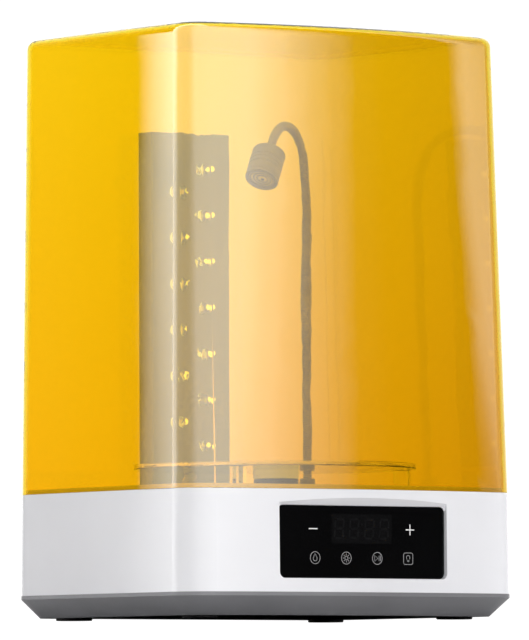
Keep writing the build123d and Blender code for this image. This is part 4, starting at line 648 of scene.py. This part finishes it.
def ribbed_neck(first, last, segments=20):
    """A stretch of flexible tube with a helical rib."""
    tube = Solids()
    steps = max(2, round((last - first) / (RIB_PITCH / 8)))
    rings = []
    for i in range(steps + 1):
        run = first + (last - first) * i / steps
        point, way = neck_at(run)
        normal = ACROSS.cross(way)
        ring = []
        for j in range(segments):
            angle = 2 * pi * j / segments
            wave = 0.5 - 0.5 * cos(2 * pi * run / RIB_PITCH - angle)
            radius = NECK_R - RIB_DEPTH * wave ** 3
            ring.append(point + (ACROSS * cos(angle) + normal * sin(angle)) * radius)
        rings.append(ring)
    tube.rings(rings)
    return tube


def build_neck():
    bend_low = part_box("neck_lower_bend")[0].z - NECK_LOW
    bend_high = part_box("neck_lower_bend")[1].z - NECK_LOW
    crook_start = STRAIGHT + SWEEP_LENGTH
    upper_first = crook_start + CROOK_R * UPPER_BEND_FROM
    upper_last = upper_first + CROOK_R * UPPER_BEND_TURN
    end = crook_start + CROOK_LENGTH + HEAD_START
    stretches = [("neck_lower", 0, bend_low, "lamp_stem", None),
                 ("neck_lower_bend", bend_low, bend_high, "lamp_stem", "lamp_arm"),
                 ("neck_upper", bend_high, upper_first, "lamp_arm", None),
                 ("neck_upper_bend", upper_first, upper_last, "lamp_arm", "lamp_head"),
                 ("neck_tip", upper_last, end, "lamp_head", None)]
    for node, first, last, body, next_body in stretches:
        tube = ribbed_neck(first, last)
        piece = tube.piece(node + "_ribbed", "neck", None if next_body else body, "neck_metal")
        if next_body:
            neck_at(first)[0]
            neck_at(last)[0]
            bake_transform(piece)
        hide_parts(node)
    return neck_at(end)


KNURL_FROM, KNURL_TO, KNURL_COUNT = 2.2 * HEAD_UNIT, 8.2 * HEAD_UNIT, 44
KNURL_PITCH, KNURL_DEPTH = 1.5 * MM, 0.22 * MM

# (depth, radius) of the lamp head's turned solids in head units; closed ones end where they start
SHELL_ROWS = [(0.0, 4.2), (0.0, 11.6), (0.3, 12.5), (0.9, 13.0), (1.6, 13.2), (2.1, 13.2)]
SHELL_ROWS += [(2.2 + 0.25 * i, 13.2) for i in range(25)]
SHELL_ROWS += [(8.4, 13.2), (9.0, 13.2), (9.2, 12.7), (9.8, 12.7), (10.0, 13.2), (12.6, 13.2),
               (12.8, 12.85), (13.3, 12.85), (13.5, 13.2), (16.1, 13.2), (16.3, 12.85), (16.8, 12.85),
               (17.0, 13.2), (24.0, 13.2), (24.3, 12.9), (24.5, 12.9), (24.5, 11.6), (3.0, 11.6),
               (3.0, 4.2)]
SHELL_ROWS += SHELL_ROWS[:1]
BEZEL_ROWS = [(24.5, 13.0), (24.7, 13.2), (26.5, 13.2), (26.9, 12.9), (27.0, 12.4), (26.8, 11.9),
              (26.0, 10.6), (25.7, 10.3), (25.7, 11.2), (24.5, 11.2), (24.5, 13.0)]
LENS_ROWS = [(23.7, 0.05), (23.7, 11.1), (25.6, 11.1), (25.7, 10.2), (25.4, 9.4), (25.9, 8.2),
             (25.4, 7.0), (25.9, 5.6), (25.4, 4.4), (26.1, 2.6), (26.4, 1.2), (26.45, 0.05)]
LENS_RING_RADII, LENS_RING_HALF, LENS_RING_FROM, LENS_RING_TO = (4.4, 7.0, 9.4), 0.3, 25.6, 26.2
BUTTON_ROWS = [(25.8, 0.05), (25.8, 1.5), (26.6, 1.4), (26.75, 1.0), (26.8, 0.05)]
COLLAR_ROWS = [(-3.2, 4.1), (-3.0, 4.6), (-1.0, 5.8), (0.0, 6.0), (0.0, 3.8), (-3.2, 3.8), (-3.2, 4.1)]


def knurled(depth, angle, radius):
    """Radius of the shell with crossed helical grooves cut into its grip."""
    if not KNURL_FROM < depth < KNURL_TO:
        return radius
    along = 2 * pi * depth / KNURL_PITCH
    crossed = sin(along + KNURL_COUNT * angle) + sin(along - KNURL_COUNT * angle)
    return radius - KNURL_DEPTH * (2 + crossed) / 2


def head_turning(profiles, base, axis, segments, radius_at=None):
    """Solids turned about the lamp head's axis."""
    turned = Solids()
    for rows in profiles:
        scaled = [(depth * HEAD_UNIT, radius * HEAD_UNIT) for depth, radius in rows]
        lathe(turned, scaled, base, axis, ACROSS, segments, radius_at)
    return turned


def build_lamp_head(base, axis):
    """Knurled and grooved head shell, stepped bezel and ringed lens."""
    shell = head_turning([SHELL_ROWS], base, axis, 176, knurled)
    piece = shell.piece("lamp_shell_knurled", "lamp", "lamp_head", "lamp_metal")
    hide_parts("head_shell")

    bezel = head_turning([BEZEL_ROWS], base, axis, 96)
    piece = bezel.piece("lamp_bezel_ring", "lamp", "lamp_head", "lamp_metal")
    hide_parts("head_bezel")

    lens = head_turning([LENS_ROWS], base, axis, 72)
    piece = lens.piece("lamp_ringed_lens", "opal", "lamp_head", "lens_clear")
    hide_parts("head_lens")

    ring_profiles = []
    for middle in LENS_RING_RADII:
        inner, outer = middle - LENS_RING_HALF, middle + LENS_RING_HALF
        ring_profiles.append([(LENS_RING_FROM, inner), (LENS_RING_TO, inner), (LENS_RING_TO, outer),
                              (LENS_RING_FROM, outer), (LENS_RING_FROM, inner)])
    rings = head_turning(ring_profiles, base, axis, 64)
    rings.piece("lamp_lens_rings", "lamp", "lamp_head", "lamp_metal")

    button = head_turning([BUTTON_ROWS], base, axis, 32)
    button.piece("lamp_lens_button", "part_black", "lamp_head", "component_black")

    collar = head_turning([COLLAR_ROWS], base, axis, 48)
    collar.piece("lamp_tail_collar", "lamp", "lamp_head", "lamp_metal")


# ------------------------------------------------------------------ LED column
LENS_FLANGE_R, LED_COUNT = 6.4 * MM, 13
# size and place of the painted highlight beads on the LED domes
GLINT_R, GLINT_SIDE, GLINT_RISE, GLINT_SUNK = 2.3 * MM, 4.6 * MM, 0.6 * MM, 1.1 * MM


def painted_led_highlights():
    """Painted highlights: a glowing bead on the right shoulder of each LED dome stands in for its
    reflection, in two staggered rows.
    """
    low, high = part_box("led_lenses")
    step = (high.z - low.z - 2 * LENS_FLANGE_R) / (LED_COUNT - 1)
    beads = Solids()
    profile = [(-GLINT_R * cos(a), max(GLINT_R * sin(a), GLINT_R / 50)) for a in
               [pi * i / 12 for i in range(13)]]
    for row in range(LED_COUNT):
        side = high.x - LENS_FLANGE_R if row % 2 == 0 else low.x + LENS_FLANGE_R
        height = low.z + LENS_FLANGE_R + step * row + GLINT_RISE
        spot = Vector((side + GLINT_SIDE, low.y + GLINT_SUNK, height))
        lathe(beads, profile, spot, UP, Vector((1, 0, 0)), 20)
    beads.piece("painted_led_highlights", "painted_highlight", "base", "lens_clear")


# ------------------------------------------------------------------ stage, lights, camera
OBJECT_MIDDLE = Vector((0, 9 * MM, 233.5 * MM))
FLOOR_HALF, FLOOR_ROUGHNESS = 6.0, 0.8
BACKDROP_LEVEL = 1.10
CAMERA_TURN, CAMERA_PITCH, CAMERA_ROLL = radians(35.889), radians(-2.891), radians(-0.251)
CAMERA_DISTANCE, SHIFT_RIGHT, SHIFT_UP = 6.65083, -1.763 * MM, -7.34 * MM
LENS_LENGTH, SENSOR_WIDTH, CLIP_END = 466.07, 36.0, 50.0


def pale_floor():
    """A pale floor that is there from above only."""
    corners = [(x * FLOOR_HALF, y * FLOOR_HALF, 0) for x, y in ((-1, -1), (1, -1), (1, 1), (-1, 1))]
    mesh = bpy.data.meshes.new("floor")
    mesh.from_pydata(corners, [], [(0, 1, 2, 3)])
    floor = bpy.data.objects.new("floor", mesh)
    bpy.context.scene.collection.objects.link(floor)
    material, tree, shader = new_material("floor_paper")
    shade = place_group(tree, "drift", {"Tone": rgba((0.93, 0.93, 0.93)),
                                        "Other Tone": rgba((0.90, 0.90, 0.905)), "Scale": 3.0})
    shader.inputs["Roughness"].default_value = FLOOR_ROUGHNESS
    under = put(tree, "ShaderNodeBsdfTransparent")
    choose = put(tree, "ShaderNodeMixShader")
    back = put(tree, "ShaderNodeNewGeometry").outputs["Backfacing"]
    wire(tree, (shade.outputs["Color"], shader.inputs["Base Color"]), (back, choose.inputs["Fac"]),
         (shader.outputs["BSDF"], choose.inputs[1]), (under.outputs["BSDF"], choose.inputs[2]),
         (choose.outputs["Shader"], tree.nodes["Material Output"].inputs["Surface"]))
    mesh.materials.append(material)


# (azimuth in degrees, brightness): soft boxes that gloss mirrors, and the daylight that matt faces get
SURROUND = [(-180, 4.1), (-165, 4.3), (-130, 8.0), (-75, 8.4), (-70, 6.1), (-66, 4.1), (-62, 2.4),
            (-58, 1.3), (-54.5, 0.12), (-48, 0.02), (-33.5, 0.02), (-32, 0.9), (-30.2, 2.9), (-28, 2.8),
            (-23, 1.2), (-12, 0.5), (60, 2.0), (105, 0.3), (126.6, 0.02), (128.8, 11.0), (131, 12.2),
            (140, 8.2), (156, 4.3), (180, 4.1)]
DAYLIGHT = [(-180, 0.52), (-150, 0.5), (-110, 0.95), (-60, 1.38), (0, 1.15), (60, 0.85), (110, 0.88),
            (150, 0.85), (180, 0.52)]


def ring_of_light(tree, azimuth, levels):
    """Brightness around the horizon, from a list of (azimuth, level)."""
    peak = max(level for _, level in levels)
    ramp = put(tree, "ShaderNodeValToRGB")
    ramp.color_ramp.interpolation = "EASE"
    stops = ramp.color_ramp.elements
    while len(stops) < len(levels):
        stops.new(0.5)
    for stop, (angle, level) in zip(stops, levels):
        stop.position = (angle + 180) / 360
        stop.color = (level / peak,) * 3 + (1.0,)
    scale = put(tree, "ShaderNodeMath", {1: peak}, operation="MULTIPLY")
    wire(tree, (azimuth, ramp.inputs["Fac"]), (ramp.outputs["Color"], scale.inputs[0]))
    return scale.outputs[0]


def studio_world():
    """A white cyclorama behind the object and a ring of soft boxes round it."""
    world = bpy.data.worlds.new("studio")
    bpy.context.scene.world = world
    world.use_nodes = True
    tree = world.node_tree
    tree.nodes.clear()
    place = put(tree, "ShaderNodeTexCoord").outputs["Generated"]
    around = put(tree, "ShaderNodeTexGradient", gradient_type="RADIAL")
    wire(tree, (place, around.inputs["Vector"]))
    boxes = ring_of_light(tree, around.outputs["Fac"], SURROUND)
    daylight = ring_of_light(tree, around.outputs["Fac"], DAYLIGHT)
    path = put(tree, "ShaderNodeLightPath")
    seen = put(tree, "ShaderNodeMath", operation="MAXIMUM")
    shine = put(tree, "ShaderNodeMix", data_type="FLOAT")
    level = put(tree, "ShaderNodeMix", data_type="FLOAT")
    level.inputs["B"].default_value = BACKDROP_LEVEL
    background = put(tree, "ShaderNodeBackground", {"Color": (1, 1, 1, 1)})
    output = put(tree, "ShaderNodeOutputWorld")
    wire(tree, (path.outputs["Is Camera Ray"], seen.inputs[0]),
         (path.outputs["Is Transmission Ray"], seen.inputs[1]),
         (path.outputs["Is Glossy Ray"], shine.inputs["Factor"]), (daylight, shine.inputs["A"]),
         (boxes, shine.inputs["B"]), (shine.outputs["Result"], level.inputs["A"]),
         (seen.outputs[0], level.inputs["Factor"]), (level.outputs["Result"], background.inputs["Strength"]),
         (background.outputs["Background"], output.inputs["Surface"]))


def front_left_camera():
    """A long lens from the front left, slightly below the object's base."""
    turn, pitch, roll = CAMERA_TURN, CAMERA_PITCH, CAMERA_ROLL
    back = Vector((-sin(turn) * cos(pitch), -cos(turn) * cos(pitch), sin(pitch)))
    right = Vector((cos(turn), -sin(turn), 0))
    up = back.cross(right)
    across = right * cos(roll) + up * sin(roll)
    upright = up * cos(roll) - right * sin(roll)
    camera = bpy.data.cameras.new("camera")
    camera.lens, camera.sensor_width = LENS_LENGTH, SENSOR_WIDTH
    camera.clip_end = CLIP_END
    holder = bpy.data.objects.new("camera", camera)
    place = OBJECT_MIDDLE + back * CAMERA_DISTANCE - across * SHIFT_RIGHT - upright * SHIFT_UP
    holder.matrix_world = Matrix.Translation(place) @ Matrix((across, upright, back)).transposed().to_4x4()
    bpy.context.scene.collection.objects.link(holder)
    bpy.context.scene.camera = holder


def render_feel():
    scene = bpy.context.scene
    scene.view_settings.view_transform = "Standard"
    scene.view_settings.look = "None"
    scene.cycles.use_denoising = True
    scene.cycles.max_bounces = 16
    scene.cycles.transmission_bounces = 14
    scene.cycles.transparent_max_bounces = 16
    scene.cycles.sample_clamp_indirect = 6.0


dress_nodes()
plus_and_minus()
key_symbols()
display_digits()
head_base, head_axis = build_neck()
build_lamp_head(head_base, head_axis)
painted_led_highlights()
front_left_camera()
pale_floor()
studio_world()
render_feel()
